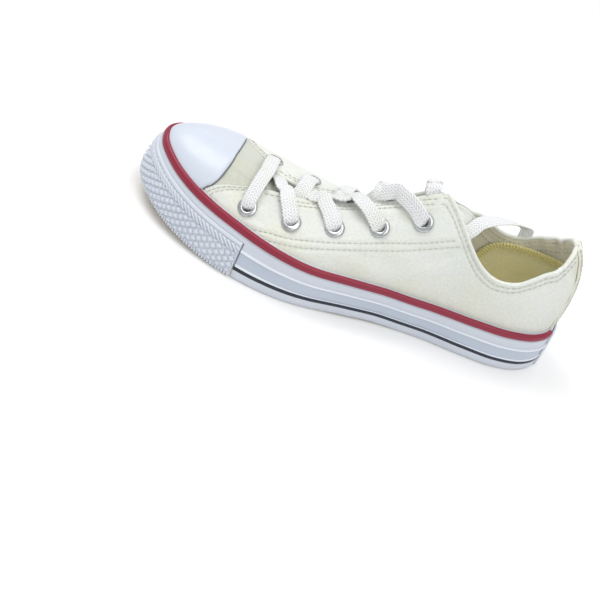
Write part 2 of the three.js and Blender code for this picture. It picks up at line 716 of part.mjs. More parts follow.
function outsoleGeometry() {
  return plateGeometry(() => FOXING_WALL + GAP, 0, OUTSOLE);
}

function insoleGeometry() {
  const depth = (up) => foxingThickness(up) + SKIRT_GAP + QUARTER_STEP + WALL + INSOLE_GAP;
  return plateGeometry(depth, OUTSOLE + GAP, OUTSOLE + GAP + INSOLE);
}

// Upper: one hollow wall with the quarters' outer ply as a step, open at collar and throat.

// Place and rise of each point in one of the upper's columns. The quarters' columns end at the
// collar or the throat, and the vamp's columns run on to the ridge.
function quarterColumn(side, share) {
  let top = topUp(side, share * THROAT_END_AT);
  for (let i = 0; i < 4; i++) {
    top = topUp(side, share * quarterFrontAt(side, top));
  }
  return spread(0, top, ROWS).map((up) => ({ at: share * quarterFrontAt(side, up), up, raised: true }));
}

function vampColumn(side, share, onQuarter) {
  const corner = THREE.MathUtils.lerp(cornerUp(side), cornerUp(OUTER), share);
  const rises = [...spread(0, corner, CORNER_ROW), ...spread(corner, 1, ROWS - CORNER_ROW).slice(1)];
  return rises.map((up, k) => {
    const front = quarterFrontAt(side, up);
    return { at: front + (1 - front) * share, up, raised: onQuarter && k <= CORNER_ROW };
  });
}

function upperColumns(side) {
  const quarter = stations(QUARTER_COLUMNS - 1, 0.2).map((share) => quarterColumn(side, share * SLOT_SHARE));
  const vamp = stations(VAMP_COLUMNS, 0.1).map((share) => Math.max(share, 4 * SHARP));
  return [...quarter, vampColumn(side, 0, true), ...vamp.map((share) => vampColumn(side, share, false))];
}

// One side's grids of points: its outer face and its lining, from the foot to the top.
function upperSide(side) {
  const places = upperColumns(side);
  const foot = (at) => (OUTSOLE + GAP - WALL_FOOT) / sideHeight(at);
  const skin = places.map((column) => [
    skirtPoint(side, column[0].at, foot(column[0].at)),
    skirtPoint(side, column[0].at, SKIRT_UP),
    ...column.map(({ at, up, raised }) => shellPoint(side, at, up, raised ? 0 : -QUARTER_STEP)),
  ]);
  const lining = places.map((column) => [
    skirtPoint(side, column[0].at, foot(column[0].at), QUARTER_STEP + WALL),
    skirtPoint(side, column[0].at, SKIRT_UP, QUARTER_STEP + WALL),
    ...column.map(({ at, up }) => shellPoint(side, at, up, -QUARTER_STEP - WALL)),
  ]);
  return { skin, lining };
}

// Closed body of two mirrored sides that meet at heel and toe. Their top edges have a rim over
// the first rimmed columns, and meet beyond them. openBack adds a rim along the first column.
function twoSided(makeSide, rimmed, openBack = false) {
  const all = [OUTER, INNER].map((side) => {
    const { skin, lining } = makeSide(side);
    const top = skin[0].length - 1;
    const triangles = [...gridTriangles(skin), ...gridTriangles(lining).map(([a, b, c]) => [a, c, b])];
    for (let i = 0; i < skin.length - 1; i++) {
      triangles.push(...quad(lining[i][0], lining[i + 1][0], skin[i + 1][0], skin[i][0]));
      if (i < rimmed) {
        triangles.push(...quad(skin[i][top], skin[i + 1][top], lining[i + 1][top], lining[i][top]));
      }
    }
    for (let j = 0; openBack && j < top; j++) {
      triangles.push(...quad(skin[0][j], skin[0][j + 1], lining[0][j + 1], lining[0][j]));
    }
    return side === OUTER ? triangles : triangles.map(([a, b, c]) => [a, c, b]);
  });
  return closedGeometry(all.flat());
}

function eyeletPlaces() {
  const up = (side, at, share) => upAtDistance(side, at, share * OUTER_BALL);
  const rows = EYELETS.flatMap(({ at, outer, inner }, i) => [
    { name: `eyelet_outer_${i + 1}`, side: OUTER, at, up: up(OUTER, at, outer) },
    { name: `eyelet_inner_${i + 1}`, side: INNER, at, up: up(INNER, at, inner) },
  ]);
  return [...rows, ...VENTS.map((row, i) => ({ name: `vent_eyelet_${i + 1}`, side: INNER, ...row }))];
}

// Places a shape whose axis is +Y on the quarters' face.
function seat(geometry, { side, at, up }) {
  const turn = new THREE.Quaternion().setFromUnitVectors(new THREE.Vector3(0, 1, 0), faceOut(side, at, up));
  return geometry.applyQuaternion(turn).translate(...facePoint(side, at, up).toArray());
}

function upperGeometry() {
  let solid = toManifold(twoSided(upperSide, QUARTER_COLUMNS));
  for (const place of eyeletPlaces()) {
    const hole = new THREE.CylinderGeometry(EYELET_BARREL + GAP, EYELET_BARREL + GAP, HOLE_DEPTH, EYELET_SIDES);
    solid = solid.subtract(toManifold(seat(closedGeometry(trianglesOf(hole)), place)));
  }
  return fromManifold(solid);
}

// Metal eyelet: flange, barrel through the canvas and a smaller flange behind it.
function eyeletGeometry(place) {
  const back = -QUARTER_STEP - WALL - EYELET_SETBACK;
  const profile = [
    [EYELET_HOLE, back - EYELET_PLATE / 2],
    [EYELET_BARREL + EYELET_BACK_RIM, back - EYELET_PLATE / 2],
    [EYELET_BARREL + EYELET_BACK_RIM, back],
    [EYELET_BARREL, back],
    [EYELET_BARREL, EYELET_LIFT],
    [EYELET_FLANGE, EYELET_LIFT],
    [EYELET_FLANGE - EYELET_ROUND, EYELET_LIFT + EYELET_PLATE],
    [EYELET_HOLE + EYELET_ROUND, EYELET_LIFT + EYELET_PLATE],
    [EYELET_HOLE, EYELET_LIFT],
    [EYELET_HOLE, back - EYELET_PLATE / 2],
  ].map(([radius, up]) => new THREE.Vector2(radius, up));
  const ring = new THREE.LatheGeometry(profile, EYELET_SIDES);
  return seat(closedGeometry(trianglesOf(ring)), place);
}

// Rubber cap over the vamp's toe, cut from the last's own face.
function capSide(side) {
  const edge = (up) => Math.max(capEdge(up).at, quarterFrontAt(side, up) + (2 * GAP) / sideLength);
  const columns = stations(VAMP_COLUMNS, 0.1).map((share) => {
    const footAt = edge(0) + (1 - edge(0)) * share;
    const rim = sidePoint(side, footAt, 1);
    const foot = upAtHeight(side, footAt, rim.up + 2 * GAP);
    return spread(foot, 1, CAP_ROWS).map((up) => {
      const place = edge(up) + (1 - edge(up)) * share;
      const outs = [CAP_GAP + CAP_THICKNESS, CAP_GAP];
      return outs.map((out) => shellPoint(side, place, up, out - QUARTER_STEP));
    });
  });
  return {
    skin: columns.map((column) => column.map((pair) => pair[0])),
    lining: columns.map((column) => column.map((pair) => pair[1])),
  };
}

// Columns across the heel, from the inner side's strip edge to the outer one's.
function heelColumns() {
  const inner = heelStops.slice(1).reverse().map((at) => ({ side: INNER, at }));
  return [...inner, ...heelStops.map((at) => ({ side: OUTER, at }))];
}

// Closed plate between two like grids of points.
function plateBetween(outer, inner) {
  const columns = outer.map((column, i) => [...column, ...[...inner[i]].reverse()]);
  const rows = outer[0].length;
  const triangles = gridTriangles(columns, false, true);
  [[0, false], [columns.length - 1, true]].forEach(([i, flip]) => {
    for (let j = 0; j < rows - 1; j++) {
      const end = quad(outer[i][j], outer[i][j + 1], inner[i][j + 1], inner[i][j]);
      triangles.push(...(flip ? end.map(([a, b, c]) => [a, c, b]) : end));
    }
  });
  return closedGeometry(triangles);
}

function heelPatchGeometry() {
  const grid = (depth) => heelColumns().map((stop) => {
    const height = sideHeight(stop.at);
    return wallColumn(stop, [GAP, height / 2, height - GAP].map((up) => [up, depth]));
  });
  return plateBetween(grid(-GAP - PATCH_THICKNESS), grid(-GAP));
}

function heelStripGeometry() {
  const grid = (out) => heelColumns().map(({ side, at }) => {
    const foot = upAtHeight(side, at, sidePoint(side, at, 1).up + GAP);
    return spread(foot, topUp(side, at), ROWS).map((up) => shellPoint(side, at, up, out));
  });
  return plateBetween(grid(GAP + STRIP_THICKNESS), grid(GAP));
}

// Tongue: under the vamp and the throat, with a free end that droops behind the throat's top.
function tongueGrid(under) {
  const columns = spread(TONGUE_FRONT_AT, TONGUE_BACK_AT, TONGUE_COLUMNS).map((at) => {
    const drop = THREE.MathUtils.smoothstep(TONGUE_FRONT_AT - at, ...TONGUE_DROP);
    const depth = QUARTER_STEP + WALL + TONGUE_GAP + drop * EYELET_BACK + under;
    const narrow = THREE.MathUtils.mapLinear(at, TONGUE_BACK_AT, TONGUE_FRONT_AT, 1, TONGUE_NARROW);
    const half = TONGUE_HALF_WIDTH * narrow;
    return spread(-half, half, TONGUE_ROWS).map((across) => throatPoint(at, across, -depth).spot);
  });
  const end = columns.at(-1);
  const middle = end[TONGUE_ROWS / 2];
  for (const row of TONGUE_END) {
    columns.push(end.map((spot) => new THREE.Vector3(
      spot.x + row.back * TONGUE_HALF_WIDTH,
      middle.y + (spot.y - middle.y) * row.half,
      middle.z + (spot.z - middle.z) * row.half + row.up * TONGUE_HALF_WIDTH,
    )));
  }
  return columns;
}

function tongueGeometry() {
  return plateBetween(tongueGrid(0), tongueGrid(TONGUE));
}

// Flat band along stations, each a middle spot and the way its flat side faces.
function band(course, width, thickness) {
  const columns = course.map(({ spot, way }, i) => {
    const before = course[Math.max(i - 1, 0)].spot;
    const after = course[Math.min(i + 1, course.length - 1)].spot;
    const along = after.clone().sub(before).normalize();
    const across = along.clone().cross(way).normalize();
    const up = across.clone().cross(along);
    const edge = width / 2 - thickness / 2;
    return [
      [-width / 2, 0],
      [-edge, thickness / 2],
      [edge, thickness / 2],
      [width / 2, 0],
      [edge, -thickness / 2],
      [-edge, -thickness / 2],
    ].map(([a, b]) => spot.clone().addScaledVector(across, a).addScaledVector(up, b));
  });
  return sweep(columns);
}

// Lace over the throat: a bar at the front row, then a crossing pair from each row to the next.
function laceCourse(from, to, puff, start = 0) {
  return spread(0, 1, LACE_STOPS).map((share) => {
    const at = THREE.MathUtils.lerp(from.at, to.at, share);
    const across = THREE.MathUtils.lerp(from.across, to.across, share);
    const arch = Math.sin(Math.PI * THREE.MathUtils.lerp(start, 1, share));
    return throatPoint(at, across, LACE_CLEAR + puff * arch);
  });
}

function laceGeometry() {
  const hole = (i, side) => {
    const distance = side === OUTER ? EYELETS[i].outer : EYELETS[i].inner;
    return { at: EYELETS[i].at, across: side * distance * OUTER_BALL };
  };
  const courses = [laceCourse(hole(0, OUTER), hole(0, INNER), LACE_PUFF / 2)];
  for (let i = 0; i < EYELETS.length - 1; i++) {
    for (const side of [OUTER, INNER]) {
      const start = hole(i, side);
      const edge = throat(start.at).half * OUTER_BALL + LACE_WIDTH / 2;
      const from = { at: THREE.MathUtils.lerp(start.at, EYELETS[i + 1].at, -LACE_UNDER), across: side * edge };
      courses.push(laceCourse(from, hole(i + 1, -side), LACE_PUFF, LACE_START));
    }
  }
  const bands = courses.map((course) => toManifold(band(course, LACE_WIDTH, LACE_THICKNESS)));
  return fromManifold(bands.reduce((all, next) => all.add(next)));
}

// Free end of the lace.
function laceEndCourse() {
  return LACE_END.map(({ forward, aside, up, tilt }) => {
    const turn = THREE.MathUtils.degToRad(tilt);
    return { spot: point(forward, aside, up), way: new THREE.Vector3(0, Math.sin(turn), Math.cos(turn)) };
  });
}

function laceTipGeometry() {
  const end = laceEndCourse().at(-1);
  const tip = new THREE.CylinderGeometry(LACE_TIP_RADIUS, LACE_TIP_END, LACE_TIP_LENGTH, EYELET_SIDES + 1);
  return tip.rotateX(Math.PI / 2).translate(end.spot.x, end.spot.y, end.spot.z - GAP - LACE_TIP_LENGTH / 2);
}

const looks = {
  canvas: { color: 0xe4e6da, roughness: 0.95, metalness: 0 },
  rubber: { color: 0xe6e9ee, roughness: 0.5, metalness: 0 },
  cap: { color: 0xdde2ec, roughness: 0.4, metalness: 0 },
  red: { color: 0x8e2a40, roughness: 0.45, metalness: 0 },
  dark: { color: 0x232b38, roughness: 0.5, metalness: 0 },
  nickel: { color: 0xb9bcbc, roughness: 0.3, metalness: 1 },
  lace: { color: 0xd8dada, roughness: 0.9, metalness: 0 },
  lining: { color: 0xcfc98b, roughness: 0.9, metalness: 0 },
};

const shoe = new THREE.Group();

function add(name, geometry, look) {
  const mesh = new THREE.Mesh(geometry, new THREE.MeshStandardMaterial(looks[look]));
  mesh.name = name;
  shoe.add(mesh);
}

add('outsole', outsoleGeometry(), 'rubber');
add('foxing', foxingGeometry(), 'rubber');
add('stripe_red', redStripeGeometry(), 'red');
add('stripe_dark_outer', darkStripeGeometry(OUTER), 'dark');
add('stripe_dark_inner', darkStripeGeometry(INNER), 'dark');
add('toe_bumper', bumperGeometry(), 'rubber');
add('heel_patch', heelPatchGeometry(), 'rubber');
add('upper', upperGeometry(), 'canvas');
add('toe_cap', twoSided(capSide, 0, true), 'cap');
add('heel_strip', heelStripGeometry(), 'canvas');
add('tongue', tongueGeometry(), 'canvas');
add('insole', insoleGeometry(), 'lining');
for (const place of eyeletPlaces()) {
  add(place.name, eyeletGeometry(place), 'nickel');
}
add('lace_crossings', laceGeometry(), 'lace');

// Origin at the middle of the shoe's base, without the free lace end.
const box = new THREE.Box3().setFromObject(shoe);
const middle = box.getCenter(new THREE.Vector3());
shoe.position.set(-middle.x, -middle.y, -box.min.z);

add('lace_end', band(laceEndCourse(), LACE_WIDTH, LACE_THICKNESS), 'lace');
add('lace_tip', laceTipGeometry(), 'lace');

export default shoe;
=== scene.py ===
"""A low canvas sneaker for the left foot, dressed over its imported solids.

Shapes are worked out in millimetres on the same last as the solids, then scaled to metres.
"""

import math

import bpy
import numpy as np
from mathutils import Matrix, Vector
from mathutils.kdtree import KDTree


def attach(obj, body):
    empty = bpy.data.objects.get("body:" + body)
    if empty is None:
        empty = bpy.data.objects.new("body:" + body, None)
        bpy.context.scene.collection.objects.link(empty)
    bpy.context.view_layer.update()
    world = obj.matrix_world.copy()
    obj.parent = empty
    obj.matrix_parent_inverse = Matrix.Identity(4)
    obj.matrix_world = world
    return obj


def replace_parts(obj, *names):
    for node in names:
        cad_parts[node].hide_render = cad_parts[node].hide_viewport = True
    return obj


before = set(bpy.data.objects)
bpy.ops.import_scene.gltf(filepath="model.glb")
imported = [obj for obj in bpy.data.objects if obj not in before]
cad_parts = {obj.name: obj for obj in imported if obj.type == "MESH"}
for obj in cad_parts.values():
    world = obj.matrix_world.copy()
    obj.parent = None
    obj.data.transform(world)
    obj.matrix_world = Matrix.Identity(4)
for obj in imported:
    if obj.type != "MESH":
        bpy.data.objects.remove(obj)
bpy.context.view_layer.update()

MM = 0.001
OUTER = 1
INNER = -1
rng = np.random.default_rng(7)

# Driving sizes of the shoe, as in its solids
LENGTH = 247
OUTER_BALL = 47.2
INNER_BALL = 43.7
FOXING_HEIGHT = 26.4
TOE_SPRING = 11.5
TOE_LEAN = 8.8
HEEL_HEIGHT = 75
ANKLE_HEIGHT = 51
INSTEP_HEIGHT = 75
OUTSOLE = 5
ARCH_RISE = 0.8
FOXING_WALL = 3.4
FOXING_LIP = 1.8
WALL = 1.4
QUARTER_STEP = 0.8
CAP_THICKNESS = 1.3
CAP_GAP = 0.5
BUMPER_THICKNESS = 1.6
RELIEF = 1.5
PATCH_THICKNESS = 1.0
STRIP_THICKNESS = 0.9
STRIP_HALF_WIDTH = 11.5
RED_STRIPE = 3.5
DARK_STRIPE = 2.3
DARK_STRIPE_HEIGHT = 6
INSOLE = 3.5
TONGUE = 1.8
TONGUE_HALF_WIDTH = 23
EYELET_HOLE = 2.4
LACE_WIDTH = 7.5
LACE_THICKNESS = 1.2
GAP = 0.3
SKIRT_GAP = 0.8
WALL_FOOT = 0.5
LEAN_POWER = 1.35
FEATHER_UP = 0.92
SHIFT = (-0.5549, 1.4332)  # from the middle of LENGTH and the heel's axis to the frame's origin


def table(names, rows):
    """Columns of a table by name, each against its first column."""
    columns = np.array(rows, float).T
    return {name: (columns[0], columns[i]) for i, name in enumerate(names.split()) if i}


def value(found, name, place):
    """A table's value at a place, on a smooth curve through its rows."""
    ts, vs = found[name]
    x = np.clip(place, ts[0], ts[-1])
    i1 = np.clip(np.searchsorted(ts, x, side="right"), 1, len(ts) - 1)
    i0 = i1 - 1
    t0, t1 = ts[i0], ts[i1]
    first, final = i0 == 0, i1 == len(ts) - 1
    tp = np.where(first, t1, ts[np.maximum(i0 - 1, 0)])
    vp = np.where(first, vs[i1], vs[np.maximum(i0 - 1, 0)])
    tn = np.where(final, t0, ts[np.minimum(i1 + 1, len(ts) - 1)])
    vn = np.where(final, vs[i0], vs[np.minimum(i1 + 1, len(ts) - 1)])
    half = (t1 - t0) / 2
    a, b = half / (t0 - tp), half / (tn - t1)
    p = (x - t0) / (t1 - t0)
    before = -a * p**3 + 2 * a * p**2 - a * p
    here = (1 + a) * p**3 + (-1.5 - 2 * a) * p**2 + (-0.5 + a) * p + 1
    there = (-1 - b) * p**3 + (1.5 + b) * p**2 + 0.5 * p
    after = b * p**3 - b * p**2
    return before * vp + here * vs[i0] + there * vs[i1] + after * vn


# Plan of the sole: along is a share of LENGTH, outer and inner of the two half-widths.
PLAN = [
    (0.012, 0.275, 0.297),
    (0.049, 0.47, 0.508),
    (0.109, 0.585, 0.627),
    (0.186, 0.621, 0.636),
    (0.283, 0.64, 0.604),
    (0.385, 0.725, 0.604),
    (0.486, 0.869, 0.682),
    (0.579, 0.983, 0.812),
    (0.656, 0.996, 0.929),
    (0.729, 0.945, 0.998),
    (0.806, 0.843, 0.989),
    (0.879, 0.686, 0.879),
    (0.941, 0.466, 0.668),
    (0.986, 0.191, 0.378),
]
TIP_ASIDE = -0.106

LAST = table(
    "at lean top along aside heel instep outer inner",
    [
        (0, 0.295, 1, 0.13, 0, 1.07, 0, 2.45, 2.45),
        (0.1, 0.25, 0.992, 0.153, 0, 1.08, 0, 2.4, 2.4),
        (0.2, 0.16, 0.955, 0.215, 0, 0.547, 0.547, 2.3, 2.3),
        (0.3, 0.068, 0.924, 0.296, 0.01, 0, 1.08, 1.9, 1.9),
        (0.385, 0.068, 0.917, 0.385, 0.042, 0, 0.967, 1.53, 1.5),
        (0.45, 0.17, 0.924, 0.453, 0.064, 0, 0.793, 1.7, 1.5),
        (0.525, 0.364, 0.943, 0.538, 0.112, 0, 0.645, 1.8, 1.55),
        (0.6, 0.602, 0.992, 0.621, 0.165, 0, 0.567, 1.7, 1.9),
        (0.7, 0.92, 1.049, 0.723, 0.18, 0, 0.57, 1.5, 1.95),
        (0.78, 0.989, 1.045, 0.798, 0.09, 0, 0.579, 1.7, 2.1),
        (0.86, 1, 1.027, 0.845, -0.02, 0, 0.575, 1.9, 2.1),
        (1, 1, 0.989, 0.874, -0.085, 0, 0.565, 2, 2),
    ],
)
COLLAR = table(
    "at rise",
    [
        (0, 1), (0.04, 0.98), (0.07, 0.89), (0.1, 0.69), (0.134, 0.5), (0.16, 0.3),
        (0.18, 0.12), (0.205, 0.01), (0.23, 0.01), (0.258, 0.14), (0.285, 0.38),
        (0.31, 0.65), (0.334, 0.86), (0.354, 0.97), (0.372, 1),
    ],
)
ANKLE_AT = 0.22
THROAT_TOP_AT = 0.372
THROAT_END_AT = 0.69
THROAT = table(
    "at half",
    [(0.372, 0.053), (0.45, 0.053), (0.525, 0.064), (0.6, 0.1), (0.65, 0.133), (0.69, 0.17)],
)
QUARTER_FRONT = table(
    "up at", [(0, 0.797), (0.2, 0.7945), (0.4, 0.785), (0.65, 0.76), (0.82, 0.73), (1, 0.69)]
)
CAP_EDGE = table(
    "up at",
    [(0, 0.8), (0.14, 0.7965), (0.3, 0.786), (0.45, 0.779), (0.6, 0.777), (0.82, 0.7785), (1, 0.784)],
)
BUMPER_AT = 0.672
BUMPER_TOP = 0.75
INNER_DROP = table(
    "at drop",
    [(0.27, 0), (0.29, 3), (0.31, 8), (0.334, 11), (0.354, 10), (0.372, 7), (0.39, 4), (0.42, 1.5),
     (0.45, 0)],
)
EYELETS = [(0.698, 0.42, 0.395), (0.608, 0.43, 0.335), (0.528, 0.425, 0.33),
           (0.454, 0.38, 0.32), (0.385, 0.3, 0.31)]
VENTS = [(0.44, 0.27), (0.51, 0.27)]
TONGUE_END = [(0.3, 0.1, 0.98), (0.6, 0.1, 0.93), (0.88, 0.02, 0.84), (1.06, -0.08, 0.66)]

# Free end of the lace: forward, aside and up, with the tilt of its flat side, in degrees.
LACE_END = [
    (74, 13.2, 60.6, -50),
    (70.6, 9.4, 64.2, -38),
    (67.5, 4.5, 66.6, -20),
    (61.5, -2, 66.6, -4),
    (55, -8.5, 65.2, 14),
    (48.5, -14.6, 62.9, 28),
    (43, -19.4, 60.2, 40),
    (39, -23.6, 57.5, 50),
    (36.6, -27.4, 53.9, 66),
    (35.6, -29.4, 49, 80),
    (35.2, -30.4, 43, 84),
    (35.2, -31, 37.5, 86),
]


def place(forward, aside, up):
    """Shoe coordinates in mm to the frame's, in mm."""
    forward, aside, up = np.broadcast_arrays(forward, aside, up)
    return np.stack([LENGTH / 2 - forward + SHIFT[0], -aside + SHIFT[1], up + 0.0], axis=-1)


def catmull(points, samples, closed=False):
    """Centripetal curve through points, sampled evenly by point."""
    pts = np.array(points, float)
    n = len(pts)
    if not closed:
        pts = np.vstack([2 * pts[0] - pts[1], pts, 2 * pts[-1] - pts[-2]])
    spans = n if closed else n - 1
    at = np.linspace(0, spans, samples + 1)
    i = np.minimum(at.astype(int), spans - 1)
    w = (at - i)[:, None]
    pick = [(i + k) % n for k in (-1, 0, 1, 2)] if closed else [i + k for k in range(4)]
    p0, p1, p2, p3 = (pts[k] for k in pick)
    d0, d1, d2 = (np.maximum(np.linalg.norm(b - a, axis=1), 1e-9)[:, None] ** 0.5
                  for a, b in ((p0, p1), (p1, p2), (p2, p3)))
    t1 = ((p1 - p0) / d0 - (p2 - p0) / (d0 + d1) + (p2 - p1) / d1) * d1
    t2 = ((p2 - p1) / d1 - (p3 - p1) / (d1 + d2) + (p3 - p2) / d2) * d1
    return (p1 + t1 * w + (-3 * p1 + 3 * p2 - 2 * t1 - t2) * w**2
            + (2 * p1 - 2 * p2 + t1 + t2) * w**3)


def plan_sides():
    outer = [(a * LENGTH, o * OUTER_BALL) for a, o, _ in PLAN]
    inner = [(a * LENGTH, -i * INNER_BALL) for a, _, i in PLAN]
    ring = [(0, 0), *outer, (LENGTH, TIP_ASIDE * OUTER_BALL), *inner[::-1]]
    curve = catmull(ring, 2400, closed=True)
    sides = {}
    for side in (OUTER, INNER):
        line = curve[:1201] if side == OUTER else curve[1200:][::-1]
        steps = np.linalg.norm(np.diff(line, axis=0), axis=1)
        lengths = np.concatenate([[0], np.cumsum(steps)])
        slope = np.gradient(line, axis=0)
        slope /= np.linalg.norm(slope, axis=1)[:, None]
        out = np.stack([-slope[:, 1] * side, slope[:, 0] * side], axis=1)
        out[0], out[-1] = (-1, 0), (1, 0)
        sides[side] = (line, lengths, out)
    return sides


PLAN_SIDES = plan_sides()
SIDE_LENGTH = PLAN_SIDES[OUTER][1][-1]
PATCH_AT = STRIP_HALF_WIDTH / SIDE_LENGTH


def outline(side, at):
    line, lengths, out = PLAN_SIDES[side]
    target = np.clip(at, 0, 1) * lengths[-1]
    found = [np.interp(target, lengths, column) for column in (*line.T, *out.T)]
    size = np.hypot(found[2], found[3])
    return found[0], found[1], found[2] / size, found[3] / size


def smooth(x, low, high):
    t = np.clip((x - low) / (high - low), 0, 1)
    return t * t * (3 - 2 * t)


def ground(forward):
    share = forward / LENGTH
    spring = np.clip((share - 0.7) / 0.3, 0, 1) ** 1.8
    arch = smooth(share, 0.32, 0.4) - smooth(share, 0.46, 0.54)
    return TOE_SPRING * spring + ARCH_RISE * arch


def side_height(at):
    return FOXING_HEIGHT * value(LAST, "top", at) - WALL_FOOT


def side_point(side, at, up, inset=0.0):
    """Point on the side wall: up is a share of its height, inset how far inside."""
    forward, aside, ox, oy = outline(side, at)
    depth = TOE_LEAN * value(LAST, "lean", at) * np.maximum(up, 0) ** LEAN_POWER + inset
    z = ground(forward) + WALL_FOOT + up * side_height(at)
    return place(forward - ox * depth, aside - oy * depth, z)


def foxing_thickness(up):
    return np.interp(np.maximum(up, 0.45), [0.45, 1], [FOXING_WALL, FOXING_LIP])


def section(side, at):
    foot = side_point(side, at, FEATHER_UP, foxing_thickness(FEATHER_UP) + SKIRT_GAP)
    rise = value(LAST, "heel", at) * HEEL_HEIGHT + value(LAST, "instep", at) * INSTEP_HEIGHT
    ridge = place(value(LAST, "along", at) * LENGTH, value(LAST, "aside", at) * OUTER_BALL, rise)
    return foot, ridge, value(LAST, "outer" if side == OUTER else "inner", at)


def face_point(side, at, up):
    at, up = np.broadcast_arrays(np.asarray(at, float), np.asarray(up, float))
    foot, ridge, full = section(side, at)
    angle = math.pi / 2 * np.clip(up, 0, 1)
    inward = 1 - np.maximum(np.cos(angle), 0) ** (2 / full)
    rise = np.sin(angle) ** (2 / full)
    plan = foot + (ridge - foot) * inward[..., None]
    plan[..., 2] = foot[..., 2] + (ridge[..., 2] - foot[..., 2]) * rise
    return plan


def up_at_distance(side, at, distance):
    foot, ridge, full = section(side, at)
    span = np.linalg.norm((foot - ridge)[..., :2], axis=-1)
    return 2 / math.pi * np.arccos(np.minimum(distance / span, 1) ** (full / 2))


def up_at_height(side, at, height):
    foot, ridge, full = section(side, at)
    rise = np.clip((height - foot[..., 2]) / (ridge[..., 2] - foot[..., 2]), 0, 0.995)
    return 2 / math.pi * np.arcsin(rise ** (full / 2))


def unit(v):
    return v / np.maximum(np.linalg.norm(v, axis=-1, keepdims=True), 1e-12)


def one_side_out(side, at, up):
    a, u = np.clip(at, 0.004, 0.996), np.clip(up, 0.01, 0.975)
    along = face_point(side, a + 0.004, u) - face_point(side, a - 0.004, u)
    upward = face_point(side, a, u + 0.01) - face_point(side, a, u - 0.01)
    return unit(np.cross(upward, along) * side)


def face_out(side, at, up):
    """Way out of the face, shared smoothly by both sides near the ridge, heel and toe."""
    at, up = np.broadcast_arrays(np.asarray(at, float), np.asarray(up, float))
    own, other = one_side_out(side, at, up), one_side_out(-side, at, up)
    share = np.maximum(smooth(up, 0.93, 1), np.maximum(1 - smooth(at, 0, 0.02), smooth(at, 0.985, 1)))
    return unit(own + other * share[..., None])


def shell(side, at, up, out=0.0):
    return face_point(side, at, up) + face_out(side, at, up) * np.asarray(out)[..., None]


def step_up(side, at, up, mm):
    """The share up the section that is mm further up than a point."""
    slope = np.linalg.norm(face_point(side, at, up) - face_point(side, at, up - 0.01), axis=-1)
    return up + mm * 0.01 / np.maximum(slope, 0.05)


def step_at(side, at, up, mm):
    slope = np.linalg.norm(face_point(side, at, up) - face_point(side, at - 0.004, up), axis=-1)
    return at + mm * 0.004 / np.maximum(slope, 0.05)


def top_up(side, at):
    """Top edge of the upper: collar behind the throat's corner, then the throat's edge."""
    at = np.asarray(at, float)
    edge = up_at_distance(side, at, value(THROAT, "half", at) * OUTER_BALL)
    reach = np.where(at < ANKLE_AT, HEEL_HEIGHT, INSTEP_HEIGHT)
    height = ANKLE_HEIGHT + value(COLLAR, "rise", at) * (reach - ANKLE_HEIGHT)
    corner = up_at_distance(side, at, value(THROAT, "half", THROAT_TOP_AT) * OUTER_BALL)
    top = np.where(at >= THROAT_TOP_AT, edge, np.minimum(up_at_height(side, at, height), corner))
    return top if side == OUTER else step_up(side, at, top, -value(INNER_DROP, "drop", at))


CORNER_UP = {side: float(top_up(side, THROAT_END_AT)) for side in (OUTER, INNER)}


def quarter_front(side, up):
    return value(QUARTER_FRONT, "at", np.minimum(up / CORNER_UP[side], 1))


def across_point(at, across, out):
    """Point over the throat: across is the distance from the ridge, positive outside."""
    at, across, out = np.broadcast_arrays(*(np.asarray(x, float) for x in (at, across, out)))
    both = [shell(side, at, up_at_distance(side, at, np.abs(across)), out) for side in (OUTER, INNER)]
    return np.where((across >= 0)[..., None], both[0], both[1])


def across_out(at, across):
    return unit(across_point(at, across, 1.0) - across_point(at, across, 0.0))


# Meshes


def new_object(name, points, faces, material, uv=None, sharp=None, tags=None):
    mesh = bpy.data.meshes.new(name)
    mesh.from_pydata((np.asarray(points) * MM).tolist(), [], [list(map(int, f)) for f in faces])
    mesh.update()
    piece = bpy.data.objects.new(name, mesh)
    bpy.context.scene.collection.objects.link(piece)
    for one in material if isinstance(material, (list, tuple)) else [material]:
        mesh.materials.append(one)
    if uv is not None:
        layer = mesh.uv_layers.new(name="UVMap")
        corners = np.empty(len(mesh.loops), int)
        mesh.loops.foreach_get("vertex_index", corners)
        layer.data.foreach_set("uv", (np.asarray(uv)[corners] * MM).ravel())
    if tags is not None:
        mesh.polygons.foreach_set("material_index", np.asarray(tags, int))
    mesh.shade_smooth()
    if sharp:
        mesh.set_sharp_from_angle(angle=math.radians(sharp))
    return piece


def grid_faces(columns, rows, closed_round=False, closed_up=False):
    i = np.arange(columns if closed_round else columns - 1)
    j = np.arange(rows if closed_up else rows - 1)
    a, b = np.meshgrid(i, j, indexing="ij")
    a2, b2 = (a + 1) % columns, (b + 1) % rows
    quads = np.stack([a * rows + b, a2 * rows + b, a2 * rows + b2, a * rows + b2], axis=-1)
    return quads.reshape(-1, 4)


def tube_faces(columns, rows):
    """Faces of a closed band: its skin and its two ends."""
    ends = [list(range(rows)), [(columns - 1) * rows + k for k in range(rows)][::-1]]
    return [list(f) for f in grid_faces(columns, rows, closed_up=True)] + ends


def run_lengths(grid, axis):
    steps = np.linalg.norm(np.diff(grid, axis=axis), axis=-1)
    pad = [(0, 0), (0, 0)]
    pad[axis] = (1, 0)
    return np.cumsum(np.pad(steps, pad), axis=axis)


def outward(grid, faces, way):
    """The faces, turned so that the first one looks along a way."""
    a, b, c = (grid.reshape(-1, 3)[faces[len(faces) // 2][k]] for k in (0, 1, 2))
    return faces if np.dot(np.cross(b - a, c - a), way) > 0 else faces[:, ::-1]


